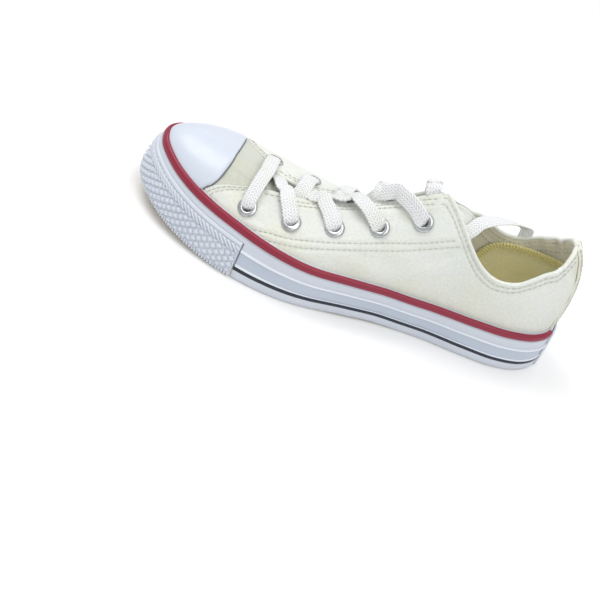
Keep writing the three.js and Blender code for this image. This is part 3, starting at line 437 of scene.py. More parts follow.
def merge_near(piece, distance=0.02):
    import bmesh
    data = bmesh.new()
    data.from_mesh(piece.data)
    bmesh.ops.remove_doubles(data, verts=data.verts, dist=distance * MM)
    bmesh.ops.recalc_face_normals(data, faces=data.faces)
    data.to_mesh(piece.data)
    data.free()


def thicken(piece, mm, inner_slot=0, rim_slot=0, offset=-1):
    solid = piece.modifiers.new("thickness", "SOLIDIFY")
    solid.thickness = mm * MM
    solid.offset = offset
    solid.use_even_offset = False
    solid.material_offset = inner_slot
    solid.material_offset_rim = rim_slot
    return solid


def relax(piece, centre, reach, rounds=40):
    """Evens a mesh out round a point, in mm, where its rows run together."""
    mesh = piece.data
    points = np.empty(len(mesh.vertices) * 3)
    mesh.vertices.foreach_get("co", points)
    points = points.reshape(-1, 3)
    ends = np.empty(len(mesh.edges) * 2, int)
    mesh.edges.foreach_get("vertices", ends)
    a, b = ends.reshape(-1, 2).T
    count = np.bincount(np.concatenate([a, b]), minlength=len(points))[:, None]
    near = 1 - smooth(np.linalg.norm(points - centre * MM, axis=1) / MM, 0.4 * reach, reach)[:, None]
    for _ in range(rounds):
        total = np.zeros_like(points)
        np.add.at(total, a, points[b])
        np.add.at(total, b, points[a])
        points += 0.6 * near * (total / np.maximum(count, 1) - points)
    mesh.vertices.foreach_set("co", points.reshape(-1))
    mesh.update()


def keep(piece, slot, *nodes):
    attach(piece, "root")
    if nodes:
        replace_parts(piece, *nodes)
    return piece


def sweep(name, path, ways, widths, heights, material, power=2.4, around=20, capped=True):
    """Soft flat cord along a path: ways are where its flat side looks."""
    path = np.asarray(path, float)
    tangent = unit(np.gradient(path, axis=0))
    up = unit(ways - tangent * np.sum(ways * tangent, axis=1, keepdims=True))
    across = np.cross(tangent, up)
    angle = np.linspace(0, 2 * math.pi, around, endpoint=False)
    cx = np.sign(np.cos(angle)) * np.abs(np.cos(angle)) ** (2 / power)
    cy = np.sign(np.sin(angle)) * np.abs(np.sin(angle)) ** (2 / power)
    grid = (path[:, None] + across[:, None] * (cx * np.asarray(widths)[:, None] / 2)[..., None]
            + up[:, None] * (cy * np.asarray(heights)[:, None] / 2)[..., None])
    run = run_lengths(path[:, None], 0)[:, 0]
    u = np.repeat(run[:, None], around, axis=1)
    v = cx[None] * np.asarray(widths)[:, None] / 2 + 0 * u
    faces = [list(f) for f in grid_faces(len(path), around, closed_up=True)]
    if capped:
        faces += [list(range(around))[::-1], [(len(path) - 1) * around + k for k in range(around)]]
    points = grid.reshape(-1, 3)
    return new_object(name, points, faces, material, np.stack([u, v], -1).reshape(-1, 2))


# Materials


def linear(code):
    parts = [int(code[i:i + 2], 16) / 255 for i in (1, 3, 5)]
    return tuple(c / 12.92 if c <= 0.04045 else ((c + 0.055) / 1.055) ** 2.4 for c in parts) + (1,)


class Look:
    """A procedural material, built node by node."""

    def __init__(self, name, roughness, metallic=0.0, **settings):
        self.material = bpy.data.materials.new(name)
        self.material.use_nodes = True
        self.tree = self.material.node_tree
        self.shader = self.tree.nodes["Principled BSDF"]
        self.shader.inputs["Roughness"].default_value = roughness
        self.shader.inputs["Metallic"].default_value = metallic
        for key, amount in settings.items():
            self.shader.inputs[key.replace("_", " ")].default_value = amount

    def node(self, kind, **inputs):
        made = self.tree.nodes.new("ShaderNode" + kind)
        for key, amount in inputs.items():
            key = key.replace("_", " ")
            if key.startswith("set "):
                setattr(made, key[4:].replace(" ", "_"), amount)
                continue
            socket = made.inputs[int(key[1:])] if key[0] == "i" and key[1:].isdigit() else made.inputs[key]
            if hasattr(amount, "is_output"):
                self.tree.links.new(amount, socket)
            else:
                socket.default_value = amount
        return made

    def math(self, operation, a, b=0.0):
        return self.node("Math", set_operation=operation, i0=a, i1=b).outputs[0]

    def half(self, wave):
        """A wave between -1 and 1, brought between 0 and 1."""
        return self.math("ADD", self.math("MULTIPLY", wave, 0.5), 0.5)

    def spot(self, kind="Object"):
        return self.node("TexCoord").outputs[kind]

    def noise(self, scale, detail=3.0, roughness=0.55, vector=None):
        where = vector or self.spot()
        return self.node("TexNoise", Vector=where, Scale=scale, Detail=detail, Roughness=roughness).outputs[0]

    def ramp(self, factor, *stops):
        made = self.node("ValToRGB", Fac=factor)
        band = made.color_ramp
        while len(band.elements) < len(stops):
            band.elements.new(0.5)
        for element, (where, colour) in zip(band.elements, stops):
            element.position = where
            element.color = colour if isinstance(colour, tuple) else (colour, colour, colour, 1)
        return made.outputs[0]

    def mix(self, factor, a, b, blend="MIX"):
        return self.node("MixRGB", set_blend_type=blend, Fac=factor, Color1=a, Color2=b).outputs[0]

    def colour(self, socket):
        self.tree.links.new(socket, self.shader.inputs["Base Color"])

    def rough(self, socket):
        self.tree.links.new(socket, self.shader.inputs["Roughness"])

    def bump(self, height, millimetres, strength=1.0):
        before = self.shader.inputs["Normal"]
        made = self.node("Bump", Height=height, Distance=millimetres * MM, Strength=strength)
        if before.is_linked:
            self.tree.links.new(before.links[0].from_socket, made.inputs["Normal"])
        self.tree.links.new(made.outputs[0], before)


def weave(look, pitch):
    """Height of a plain weave, from the piece's own run in mm."""
    split = look.node("SeparateXYZ", Vector=look.spot("UV"))
    turn = 2 * math.pi / (pitch * MM)
    warp = look.math("SINE", look.math("MULTIPLY", split.outputs[0], turn))
    weft = look.math("SINE", look.math("MULTIPLY", split.outputs[1], turn))
    return look.math("MULTIPLY", warp, weft)


def canvas(name, base, warm, shade, pitch=0.62):
    look = Look(name, 0.92, Sheen_Weight=0.25, Sheen_Roughness=0.5, Specular_IOR_Level=0.25)
    patches = look.ramp(look.noise(26, 4), (0.42, 0.0), (0.72, 1.0))
    grey = look.ramp(look.noise(14, 3), (0.45, 0.0), (0.8, 1.0))
    slubs = look.noise(900, 2)
    first = look.mix(look.math("MULTIPLY", patches, 0.75), linear(base), linear(warm))
    second = look.mix(look.math("MULTIPLY", grey, 0.6), first, linear(shade))
    fleck = look.ramp(slubs, (0.3, 0.9), (0.7, 1.0))
    # Low points of the weave darkened: painted shade in its hollows
    threads = look.ramp(look.half(weave(look, pitch)), (0.0, 0.95), (1.0, 1.0))
    look.colour(look.mix(1.0, look.mix(1.0, second, fleck, "MULTIPLY"), threads, "MULTIPLY"))
    look.bump(weave(look, pitch), 0.07, 0.7)
    look.bump(look.noise(420, 4), 0.12, 0.5)
    look.bump(look.noise(70, 3), 0.35, 0.35)
    return look.material


def rubber(name, base, second, roughness, grain=0.03, coat=0.0):
    look = Look(name, roughness, Coat_Weight=coat, Coat_Roughness=0.25, Specular_IOR_Level=0.45)
    tint = look.mix(look.math("MULTIPLY", look.ramp(look.noise(22, 3), (0.35, 0.0), (0.75, 1.0)), 0.5),
                    linear(base), linear(second))
    look.colour(tint)
    look.rough(look.ramp(look.noise(160, 3), (0.3, roughness - 0.07), (0.75, roughness + 0.1)))
    look.bump(look.noise(1500, 2), grain, 0.5)
    look.bump(look.noise(45, 2), 0.12, 0.25)
    return look.material


def lace_look():
    look = Look("lace_weave", 0.88, Sheen_Weight=0.3, Sheen_Roughness=0.5, Specular_IOR_Level=0.25)
    split = look.node("SeparateXYZ", Vector=look.spot("UV"))
    along, side = split.outputs[0], look.math("ABSOLUTE", split.outputs[1])
    turn = 2 * math.pi * 1000
    wander = look.math("MULTIPLY", look.noise(260, 2), 1.6 * MM)
    slanted = look.math("ADD", look.math("ADD", along, side), wander)
    ribs = look.math("SINE", look.math("MULTIPLY", slanted, turn / 1.7))
    cords = look.math("SINE", look.math("MULTIPLY", split.outputs[1], turn / 1.5))
    height = look.math("MULTIPLY", look.math("ADD", ribs, look.math("MULTIPLY", cords, 0.6)), 0.5)
    # Lower grooves of the lace's relief darkened: painted shade in the weave's hollows
    dark = look.ramp(look.half(height), (0.0, linear("#BCC0C3")), (0.6, linear("#FFFFFF")))
    worn = look.ramp(look.noise(60, 3), (0.4, linear("#EEEFF1")), (0.8, linear("#E8E9E2")))
    look.colour(look.mix(0.75, worn, dark, "MULTIPLY"))
    look.bump(height, 0.22, 0.9)
    look.bump(look.noise(500, 3), 0.1, 0.5)
    return look.material


def nickel_look():
    look = Look("eyelet_nickel", 0.28, metallic=1.0)
    look.colour(look.ramp(look.noise(300, 3), (0.3, linear("#A9ACAE")), (0.8, linear("#D5D7D8"))))
    look.rough(look.ramp(look.noise(700, 3), (0.3, 0.2), (0.8, 0.42)))
    look.bump(look.noise(1200, 2), 0.03, 0.4)
    return look.material


def thread_look(name, code, second):
    look = Look(name, 0.8, Sheen_Weight=0.2, Specular_IOR_Level=0.3)
    look.colour(look.ramp(look.noise(800, 2), (0.3, linear(code)), (0.8, linear(second))))
    look.bump(look.noise(2500, 2), 0.06, 0.6)
    return look.material


CANVAS = canvas("canvas_outer", "#EDF0EA", "#EBEAD2", "#D2D9D2")
# Same canvas as the quarters, made greyer and darker as painted shade on the vamp
VAMP_CANVAS_SHADED = canvas("canvas_vamp_painted_shade", "#D2D6CC", "#D3D2BC", "#B7BDB3")
LINING = canvas("lining_cream", "#FBF9EC", "#F6F0D2", "#EAE9DC", 0.5)
YELLOW = canvas("lining_yellow", "#FFFBD6", "#FFF7C6", "#F6F0CC", 0.7)
STRIP = canvas("canvas_strip", "#F1F2E9", "#EEEACC", "#DADDD3", 0.5)
CAP = rubber("cap_rubber", "#D0D7E3", "#C6CEDC", 0.36, 0.015, 0.2)
# Darker rubber for the recessed band: painted shade on the same white rubber as the wall
BAND_SHADE = rubber("wall_band_painted_shade", "#BCC5D3", "#B3BCCB", 0.42)
# Lighter rubber for the raised lines: painted highlight on the same white rubber as the wall
RIM_HIGHLIGHT = rubber("wall_line_painted_highlight", "#E4E9F0", "#DCE2EA", 0.4)
SIDE = rubber("side_rubber", "#CDD3DD", "#C6CDD8", 0.46)
BUMPER = rubber("bumper_rubber", "#D4DAE3", "#CAD1DC", 0.44)
RED = rubber("red_rubber", "#8E2038", "#82203A", 0.42, 0.02)
DARK = rubber("dark_rubber", "#1F2735", "#273042", 0.5, 0.02)
SOLE = rubber("sole_rubber", "#D8CDB4", "#CFC4A8", 0.6, 0.05)
# Dark grey of the line under the toe cap's rear edge: painted shade in that joint
EDGE_SHADE = rubber("edge_shade_line", "#6B7078", "#7B8088", 0.6, 0.02)
NICKEL = nickel_look()
LACE = lace_look()
THREAD = thread_look("thread", "#BBBEB4", "#D8D8CC")
LOOPS = thread_look("overlock_thread", "#F0E6A4", "#E6DFB4")
TIP = rubber("tip_plastic", "#DDE0E2", "#D2D6D8", 0.25, 0.01, 0.4)

# Camera: the photograph's angle to the shoe, rolled
AZIMUTH, ELEVATION, ROLL = (math.radians(a) for a in (-1.227, 42.369, 24.478))
LENS, SENSOR = 48, 36
CAMERA_AT = place(142.9, 354.1, 286.9)


def add_camera():
    ce, se, ca, sa = math.cos(ELEVATION), math.sin(ELEVATION), math.cos(AZIMUTH), math.sin(AZIMUTH)
    back = np.array([sa * ce, -ca * ce, se])
    right = np.array([ca, sa, 0])
    up = np.cross(back, right)
    cr, sr = math.cos(ROLL), math.sin(ROLL)
    axes = [cr * right + sr * up, -sr * right + cr * up, back]
    data = bpy.data.cameras.new("camera")
    data.lens, data.sensor_width = LENS, SENSOR
    data.clip_start, data.clip_end = 0.01, 20
    camera = bpy.data.objects.new("camera", data)
    matrix = Matrix(np.array(axes).T.tolist()).to_4x4()
    matrix.translation = Vector((CAMERA_AT * MM).tolist())
    camera.matrix_world = matrix
    bpy.context.scene.collection.objects.link(camera)
    bpy.context.scene.camera = camera


add_camera()

# Free end of the lace


def add_lace_end():
    rows = np.array(LACE_END, float)
    dense = catmull(rows, 44)
    path = place(dense[:, 0], dense[:, 1], dense[:, 2])
    tilt = np.radians(dense[:, 3])
    ways = np.stack([0 * tilt, np.sin(tilt), np.cos(tilt)], axis=1)
    widths = np.full(len(path), LACE_WIDTH)
    heights = np.full(len(path), LACE_THICKNESS * 1.35)
    taper = np.linspace(0, 1, 5)
    widths[-5:] = LACE_WIDTH + (2.6 - LACE_WIDTH) * taper
    heights[-5:] = LACE_THICKNESS * 1.35 + (2.2 - LACE_THICKNESS * 1.35) * taper
    end = sweep("lace_end_band", path, ways, widths, heights, LACE)
    angle = np.linspace(0, 2 * math.pi, 20, endpoint=False)
    radius = LACE_THICKNESS * 1.1
    profile = [(0, 0.6), (0.35, 0.95), (0.9, 1.02), (1.2, 0.98), (8, 0.96), (14.8, 0.92), (15.7, 0.8),
               (16, 0.5)]
    rings = [(d, s * radius) for d, s in profile]
    foot = path[-1] + (0, 0, -GAP * 0.2)
    grid = np.array([[foot + (r * math.cos(a), r * math.sin(a), -d) for a in angle] for d, r in rings])
    tip = new_object("lace_tip_sleeve", grid.reshape(-1, 3), tube_faces(len(rings), 20), TIP)
    merge_near(tip)
    keep(end, "lace", "lace_end")
    keep(tip, "tip_plastic", "lace_tip")


add_lace_end()

# Seams: rows of stitches, and the hollows that they pull into the canvas


def collar_row(side, drop, start=0.045, stop=0.368):
    at = np.linspace(start, stop, 60)
    return at, step_up(side, at, top_up(side, at), -drop)


def throat_row(side, drop, start=0.378, stop=0.682):
    at = np.linspace(start, stop, 60)
    return at, step_up(side, at, top_up(side, at), -drop)


def front_row(side, drop, low=0.02, high=0.97):
    up = np.linspace(low, high, 40) * CORNER_UP[side]
    return step_at(side, quarter_front(side, up), up, -drop), up


LOW_SEAMS = [
    [(0.7, 0.06), (0.686, 0.094), (0.64, 0.245), (0.604, 0.307), (0.557, 0.38), (0.511, 0.413),
     (0.447, 0.437), (0.382, 0.447), (0.345, 0.47), (0.318, 0.492)],
    [(0.676, 0.05), (0.648, 0.103), (0.582, 0.242), (0.513, 0.334), (0.458, 0.362), (0.409, 0.38),
     (0.378, 0.4), (0.335, 0.43), (0.306, 0.45)],
]


def low_row(points):
    line = catmull(points, 80)
    return line[:, 0], line[:, 1]


def below_edge(side, at, up):
    kept = up < step_up(side, at, top_up(side, at), -2.3)
    return at[kept], up[kept]


def seam_rows(side):
    rows = [collar_row(side, 2.3), collar_row(side, 5.0)]
    rows += [throat_row(side, 2.6), throat_row(side, 4.9, 0.378, 0.655)]
    rows += [front_row(side, 2.2), front_row(side, 4.4, 0.02, 0.9)]
    rows += [below_edge(side, *low_row(points)) for points in LOW_SEAMS]
    rows.append(low_row([(0.776, 0.14), (0.756, 0.105), (0.73, 0.078), (0.7, 0.06)]))
    return rows


SEAMS = {side: seam_rows(side) for side in (OUTER, INNER)}


def seam_tree(side):
    lines = [shell(side, at, up, 0.0) for at, up in SEAMS[side]]
    dense = []
    for line in lines:
        run = run_lengths(line[:, None], 0)[:, 0]
        steps = np.arange(0, run[-1], 0.7)
        dense.append(np.stack([np.interp(steps, run, line[:, k]) for k in range(3)], 1))
    dense = np.vstack(dense)
    tree = KDTree(len(dense))
    for i, point in enumerate(dense):
        tree.insert(point, i)
    tree.balance()
    return tree


SEAM_TREES = {side: seam_tree(side) for side in (OUTER, INNER)}
CREASES = {}
for side in (OUTER, INNER):
    count = 46
    CREASES[side] = np.stack([
        rng.uniform(0.05, 0.8, count), rng.uniform(0.1, 0.75, count), rng.uniform(-0.9, 0.9, count),
        rng.uniform(5, 14, count), rng.uniform(1.8, 4.5, count), rng.uniform(-0.45, 0.35, count)], 1)
# Creases that show: at, up, direction, half length, half width, height in mm
NAMED_CREASES = [
    (0.1, 0.5, 1.1, 9, 1.8, -0.8), (0.118, 0.46, 1.0, 8, 1.6, 0.6), (0.14, 0.42, 0.8, 9, 2.0, -0.6),
    (0.3, 0.42, -0.5, 14, 2.6, -0.5), (0.33, 0.3, -0.4, 16, 3.0, 0.45), (0.6, 0.42, 1.0, 10, 2.4, -0.55),
    (0.655, 0.5, 1.1, 10, 2.2, -0.5), (0.74, 0.6, 1.35, 12, 2.4, -0.55), (0.715, 0.7, 1.3, 12, 2.2, 0.45),
    (0.46, 0.3, 0.2, 15, 3.0, -0.4), (0.21, 0.3, 0.1, 16, 3.0, 0.4),
]


def relief(side, at, up, points=None):
    """How far the canvas stands out of the last: soft creases and the hollows of its seams."""
    at, up = np.broadcast_arrays(np.asarray(at, float), np.asarray(up, float))
    if points is None:
        points = shell(side, at, up, 0.0)
    s, t = at * SIDE_LENGTH, up * 62
    height = 0.28 * np.sin(s / 11 + 1.3 * side) * np.sin(t / 9 + s / 37)
    height += 0.16 * np.sin(s / 5.3 - t / 7) * np.sin(t / 4.7 + 1.1)
    for a, u, way, long, wide, tall in [*CREASES[side], *NAMED_CREASES]:
        ds, dt = s - a * SIDE_LENGTH, t - u * 62
        p, q = ds * math.cos(way) + dt * math.sin(way), -ds * math.sin(way) + dt * math.cos(way)
        height += tall * np.exp(-(p / long) ** 2 - (q / wide) ** 2)
    height *= smooth(up, 0.0, 0.12) * (1 - smooth(at, 0.8, 0.9))
    flat = points.reshape(-1, 3)
    near = np.array([SEAM_TREES[side].find(p)[2] for p in flat]).reshape(at.shape)
    pucker = 0.75 + 0.25 * np.sin((points[..., 0] + points[..., 2]) * 2.1)
    return height - 0.34 * pucker * np.exp(-(near / 0.85) ** 2) + 0.12 * np.exp(-((near - 2.2) / 1.0) ** 2)


# Canvas
EYELET_PLACES = []
for row, (at, outer, inner) in enumerate(EYELETS):
    for side, distance, word in ((OUTER, outer, "outer"), (INNER, inner, "inner")):
        spot = up_at_distance(side, np.array(at), distance * OUTER_BALL)
        EYELET_PLACES.append((f"eyelet_{word}_{row + 1}", side, at, float(spot)))
for row, (at, up) in enumerate(VENTS):
    EYELET_PLACES.append((f"vent_eyelet_{row + 1}", INNER, at, up))


def without_holes(points, faces, side, radius):
    centres = points.reshape(-1, 3)[faces].mean(axis=1)
    kept = np.ones(len(faces), bool)
    for _, own, at, up in EYELET_PLACES:
        if own == side:
            hole = shell(side, np.array(at), np.array(up), 0.0)
            kept &= np.linalg.norm(centres - hole, axis=1) > radius
    return faces[kept]


def add_quarter(side):
    word = "outer" if side == OUTER else "inner"
    share = np.linspace(0, 1, 250)[:, None] * np.ones((1, 64))
    rows = np.linspace(0, 1, 64)[None]
    top = top_up(side, share * THROAT_END_AT)
    for _ in range(5):
        top = top_up(side, share * quarter_front(side, top))
    corner = np.clip((share - 0.965) / 0.035, 0, 1)
    top = top - 0.05 * (1 - np.sqrt(1 - corner**2))
    up = top * rows
    at = share * quarter_front(side, up)
    base = shell(side, at, up, 0.0)
    out = relief(side, at, up, base)
    run_top = np.linalg.norm(base - base[:, -1:], axis=-1)
    run_front = np.linalg.norm(base - base[-1:], axis=-1)
    out = out - 0.5 * np.exp(-(run_front / 0.8) ** 2) - 0.25 * np.exp(-(run_top / 0.9) ** 2)
    grid = base + face_out(side, at, up) * out[..., None]
    uv = np.stack([at * SIDE_LENGTH, run_lengths(base, 1)], -1).reshape(-1, 2)
    faces = outward(grid, grid_faces(250, 64), face_out(side, 0.4, 0.5))
    faces = without_holes(base, faces, side, EYELET_HOLE + 0.9)
    piece = new_object(f"quarter_{word}", grid.reshape(-1, 3), faces, [CANVAS, LINING], uv)
    thicken(piece, QUARTER_STEP + WALL, inner_slot=1)
    return keep(piece, "canvas", "upper")


def add_vamp():
    halves, all_uv, all_faces = [], [], []
    for side in (OUTER, INNER):
        rows = np.linspace(0, 1, 70)[None]
        share = np.linspace(0, 1, 120)[:, None]
        up = rows + 0 * share
        tucked = quarter_front(side, up) - 0.02
        corner = CORNER_UP[side]
        start = tucked + (THROAT_END_AT - tucked) * smooth(up, corner - 0.02, corner + 0.06)
        at = start + (1 - start) * share
        base = shell(side, at, up, -QUARTER_STEP)
        out = relief(side, at, up, base) * (1 - smooth(up, 0.9, 1)) * 0.8
        edge = value(CAP_EDGE, "at", up)
        out = out * (1 - smooth(at, edge, edge + 0.012)) - 0.6 * smooth(at, edge + 0.004, edge + 0.02)
        grid = base + face_out(side, at, up) * out[..., None]
        faces = outward(grid, grid_faces(120, 70), (0, 0, 1))
        faces = faces[(at - edge).reshape(-1)[faces].min(axis=1) < 0.03]
        halves.append(grid.reshape(-1, 3))
        all_faces.append(faces + len(halves[0]) * (len(halves) - 1))
        all_uv.append(np.stack([at * SIDE_LENGTH, side * run_lengths(base, 1)], -1).reshape(-1, 2))
    points, faces, uv = (np.vstack(part) for part in (halves, all_faces, all_uv))
    # The vamp takes the canvas copy that carries painted shade
    piece = new_object("vamp", points, faces, [VAMP_CANVAS_SHADED, LINING], uv)
    merge_near(piece)
    thicken(piece, WALL, inner_slot=1)
    return keep(piece, "canvas")


for side in (OUTER, INNER):
    add_quarter(side)
add_vamp()


def edge_roll(name, side, at, up, radius, material, out=-1.1):
    """A rounded fold of canvas along an edge."""
    points = shell(side, at, up, out) + face_out(side, at, up) * (relief(side, at, up) * 0.6)[..., None]
    ways = face_out(side, at, up)
    n = len(points)
    piece = sweep(name, points, ways, np.full(n, radius * 1.7), np.full(n, radius * 2.1), material, 2.0, 14)
    return keep(piece, "canvas")


for side, word in ((OUTER, "outer"), (INNER, "inner")):
    at = np.linspace(0.0, 0.372, 220)
    edge_roll(f"collar_fold_{word}", side, at, step_up(side, at, top_up(side, at), -0.5), 1.25, CANVAS)
    at = np.linspace(0.372, 0.683, 160)
    edge_roll(f"throat_fold_{word}", side, at, step_up(side, at, top_up(side, at), -0.4), 1.0, CANVAS)


def stitches(name, lines, material, pitch=2.75, length=2.15, radius=0.3):
    """Short threads laid end to end along lines of points and ways out."""
    around, rings = 6, 5
    angle = np.linspace(0, 2 * math.pi, around, endpoint=False)
    along = np.linspace(-1, 1, rings)
    fat = np.sqrt(np.clip(1 - (along * 0.93) ** 4, 0, 1))
    points, faces = [], []
    shape = np.array(grid_faces(rings, around, closed_up=True))
    for spots, ways in lines:
        run = run_lengths(spots[:, None], 0)[:, 0]
        middles = np.arange(pitch / 2, run[-1], pitch)
        centre, ahead, way = (np.stack([np.interp(middles + d, run, source[:, k]) for k in range(3)], 1)
                              for d, source in ((0, spots), (0.8, spots), (0, ways)))
        for c, a, w in zip(centre, ahead, way):
            t = unit(a - c)
            w = unit(w - t * np.dot(w, t))
            b = np.cross(t, w)
            turned = b * np.cos(angle)[:, None] + w * np.sin(angle)[:, None]
            ring = (c + t * (along * length / 2)[:, None, None] + turned * (fat * radius)[:, None, None]
                    + w * (0.12 * (1 - along**2))[:, None, None])
            faces.append(shape + len(points) * around * rings)
            points.append(ring.reshape(-1, 3))
    piece = new_object(name, np.vstack(points), np.vstack(faces), material)
    return keep(piece, "canvas")


for side, word in ((OUTER, "outer"), (INNER, "inner")):
    lines = []
    for at, up in SEAMS[side]:
        base = shell(side, at, up, 0.0)
        way = face_out(side, at, up)
        lines.append((base + way * (relief(side, at, up, base) + 0.12)[:, None], way))
    stitches(f"stitches_{word}", lines, THREAD)

# Toe cap


def cap_edge(side, up):
    return np.maximum(value(CAP_EDGE, "at", up), quarter_front(side, up) + 0.002)


def add_cap():
    halves, all_faces, line = [], [], {}
    c, r = 80, 60
    for side in (OUTER, INNER):
        share = np.linspace(0, 1, c)[:, None] ** 1.1
        foot_at = cap_edge(side, 0.0) + (1 - cap_edge(side, 0.0)) * share
        rim = side_point(side, foot_at[:, 0], 1.0)[:, 2] - 1.2
        foot = up_at_height(side, foot_at[:, 0], rim)[:, None]
        up = foot + (1 - foot) * np.linspace(0, 1, r)[None]
        at = cap_edge(side, up) + (1 - cap_edge(side, up)) * share
        edge = np.linalg.norm(shell(side, at, up) - shell(side, cap_edge(side, up), up), axis=-1)
        lift = CAP_GAP + CAP_THICKNESS - QUARTER_STEP - 0.9 * np.clip(1 - edge / 1.6, 0, 1) ** 2
        grid = shell(side, at, up, lift)
        all_faces.append(outward(grid, grid_faces(c, r), (0, 0, 1)) + c * r * len(halves))
        halves.append(grid)
        line[side] = (cap_edge(side, up[0]), up[0])
    for shared in (np.s_[:, -1], np.s_[-1]):
        middle = (halves[0][shared] + halves[1][shared]) / 2
        halves[0][shared] = halves[1][shared] = middle
    points = np.vstack([half.reshape(-1, 3) for half in halves])
    piece = new_object("toe_cap_shell", points, np.vstack(all_faces), CAP)
    merge_near(piece)
    relax(piece, halves[0][-1, -1], 6.0)
    thicken(piece, CAP_THICKNESS)
    keep(piece, "cap_rubber", "toe_cap")
    # A dark line in the joint under the cap's edge: painted shade where the cap's step shades the canvas
    spots, ways = [], []
    for side, turn in ((OUTER, 1), (INNER, -1)):
        at, up = (x[::turn] for x in line[side])
        at = at - 0.0012
        spots.append(shell(side, at, up, -QUARTER_STEP + 0.35)[(0 if turn == 1 else 1):])
        ways.append(face_out(side, at, up)[(0 if turn == 1 else 1):])
    spots, ways = np.vstack(spots), np.vstack(ways)
    n = len(spots)
    keep(sweep("cap_edge_line", spots, ways, np.full(n, 0.55), np.full(n, 0.5), EDGE_SHADE, 2.0, 8), "cap_rubber")


add_cap()

# Side wall, stripes, bumper


def stop_list(low, high, count):
    return np.linspace(low, high, count)


def ring_of(shares):
    """Columns round the shoe: the outer side from heel to toe, then the inner side back."""
    return [(OUTER, shares), (INNER, shares[::-1][1:] if shares[-1] == 1 else shares[::-1])]


def wall_grid(shares, rows):
    """rows gives, for a side and its shares, lists of heights in mm and depths."""
    parts = []
    for side, stops in ring_of(shares):
        heights, depths = rows(side, stops)
        parts.append(np.stack([side_point(side, stops, h / side_height(stops), d)
                               for h, d in zip(heights, depths)], axis=1))
    return np.concatenate(parts)


def add_foxing():
    """The wall, with a groove for the dark stripe, a recessed band under a raised line, and the
    bumper's bed. The two go by heights in mm: up to stripes_top they don't follow the wall's."""
    bed_top, stripes_top = 19.3, 8
    shares = np.concatenate([stop_list(0, PATCH_AT, 16)[:-1], stop_list(PATCH_AT, BUMPER_AT - 0.002, 190),
                             stop_list(BUMPER_AT + 0.0005, 1, 90)])

    def rows(side, at):
        height = side_height(at)
        bumper = (at > BUMPER_AT - 0.0005)
        one = np.ones_like(at)
        plain = [
            (0, 1.2), (0.15, 0.35), (0.7, 0.0), (3.0, -0.05), (4.75, 0.0), (4.95, 0.25), (5.1, 0.5),
            (6.9, 0.5), (7.05, 0.25), (7.2, -0.2), (7.9, -0.28), (8.15, 0.2), (11, 0.14), (14.6, 0.2),
            (15.0, 0.16), (15.2, -0.5), (15.5, -0.8), (16.0, -0.8), (16.3, -0.5), (16.5, 0.1),
            (17.2, 0.16), (18.6, 0.12), (19.4, 0.1),
        ]
        lip = [(-5.9, 0.05), (-4.6, 0.05), (-4.35, 0.15), (-4.2, 0.45), (-0.3, 0.5), (0, 0.75), (0, 2.4),
               (-1.0, 3.4)]
        heights, depths = [], []
        for h, d in plain:
            bed = one * (BUMPER_THICKNESS + GAP)
            above = bumper & (h > bed_top)
            raised = h * height / (FOXING_HEIGHT - WALL_FOOT)
            heights.append(np.where(above, raised + 0.35, raised if h > stripes_top else h))
            depths.append(np.where(bumper & (h < bed_top), bed, np.where(above, 0.0, d)))
        for h, d in lip:
            heights.append(height + h)
            depths.append(one * d)
        return heights, depths

    grid = wall_grid(shares, rows)[:-1]
    inner = []
    for side, stops in ring_of(shares):
        inner.append(side_point(side, stops, 0.0, FOXING_WALL)[:, None])
    inner = np.concatenate(inner)[:-1]
    grid = np.concatenate([grid, inner], axis=1)
    n, r = grid.shape[:2]
    faces = grid_faces(n, r, closed_round=True, closed_up=True)
    tags = np.zeros((n, r), int)
    tags[:, 11:14] = 1  # rows of the recessed band, darkened as painted shade
    tags[:, [9, 10, 15, 16, 17]] = 2  # rows of the raised lines below and above it, lightened as painted highlight
    looks = [SIDE, BAND_SHADE, RIM_HIGHLIGHT]
    piece = new_object("side_wall", grid.reshape(-1, 3), faces, looks, sharp=38, tags=tags.reshape(-1))
    merge_near(piece, 0.001)
    keep(piece, "side_rubber", "foxing")


def stripe(name, shares, section, material, slot, node, sides=None):
    """A band along the wall: depths in mm at heights, which the red one counts down from the top."""
    def rows(side, at):
        heights = [side_height(at) - h if sides is None else h + 0 * at for h, _ in section]
        return heights, [0 * at + d for _, d in section]

    grid = wall_grid(shares, rows)
    if sides is not None:
        grid = grid[:len(shares)] if sides == OUTER else grid[-len(shares):]
    piece = new_object(name, grid.reshape(-1, 3), tube_faces(*grid.shape[:2]), material, sharp=50)
    merge_near(piece, 0.001)
    keep(piece, slot, node)


add_foxing()
RED_SECTION = [
    (RED_STRIPE, 0.8), (RED_STRIPE, 0.05), (RED_STRIPE - 0.25, -0.2), (RED_STRIPE - 0.8, -0.42),
    (RED_STRIPE / 2, -0.5), (0.8, -0.42), (0.25, -0.2), (-0.08, 0.3), (-0.14, 1.0), (-0.1, 1.7), (0.4, 1.75),
]
red_stops = np.concatenate([stop_list(PATCH_AT + 0.001, BUMPER_AT, 190), stop_list(BUMPER_AT + 0.003, 1, 80)])
stripe("red_band", red_stops, RED_SECTION, RED, "red_rubber", "stripe_red")
DARK_LOW, DARK_HIGH = DARK_STRIPE_HEIGHT - DARK_STRIPE / 2, DARK_STRIPE_HEIGHT + DARK_STRIPE / 2
DARK_SECTION = [
    (DARK_LOW, 0.7), (DARK_LOW, 0.12), (DARK_LOW + 0.2, -0.02), (DARK_HIGH - 0.2, -0.02), (DARK_HIGH, 0.12),
    (DARK_HIGH, 0.7),
]
dark_stops = stop_list(PATCH_AT + 0.001, BUMPER_AT - 0.001, 190)
stripe("dark_band_outer", dark_stops, DARK_SECTION, DARK, "dark_rubber", "stripe_dark_outer", OUTER)
stripe("dark_band_inner", dark_stops, DARK_SECTION, DARK, "dark_rubber", "stripe_dark_inner", INNER)


def tent(x):
    return np.abs((x % 1.0) * 2 - 1)


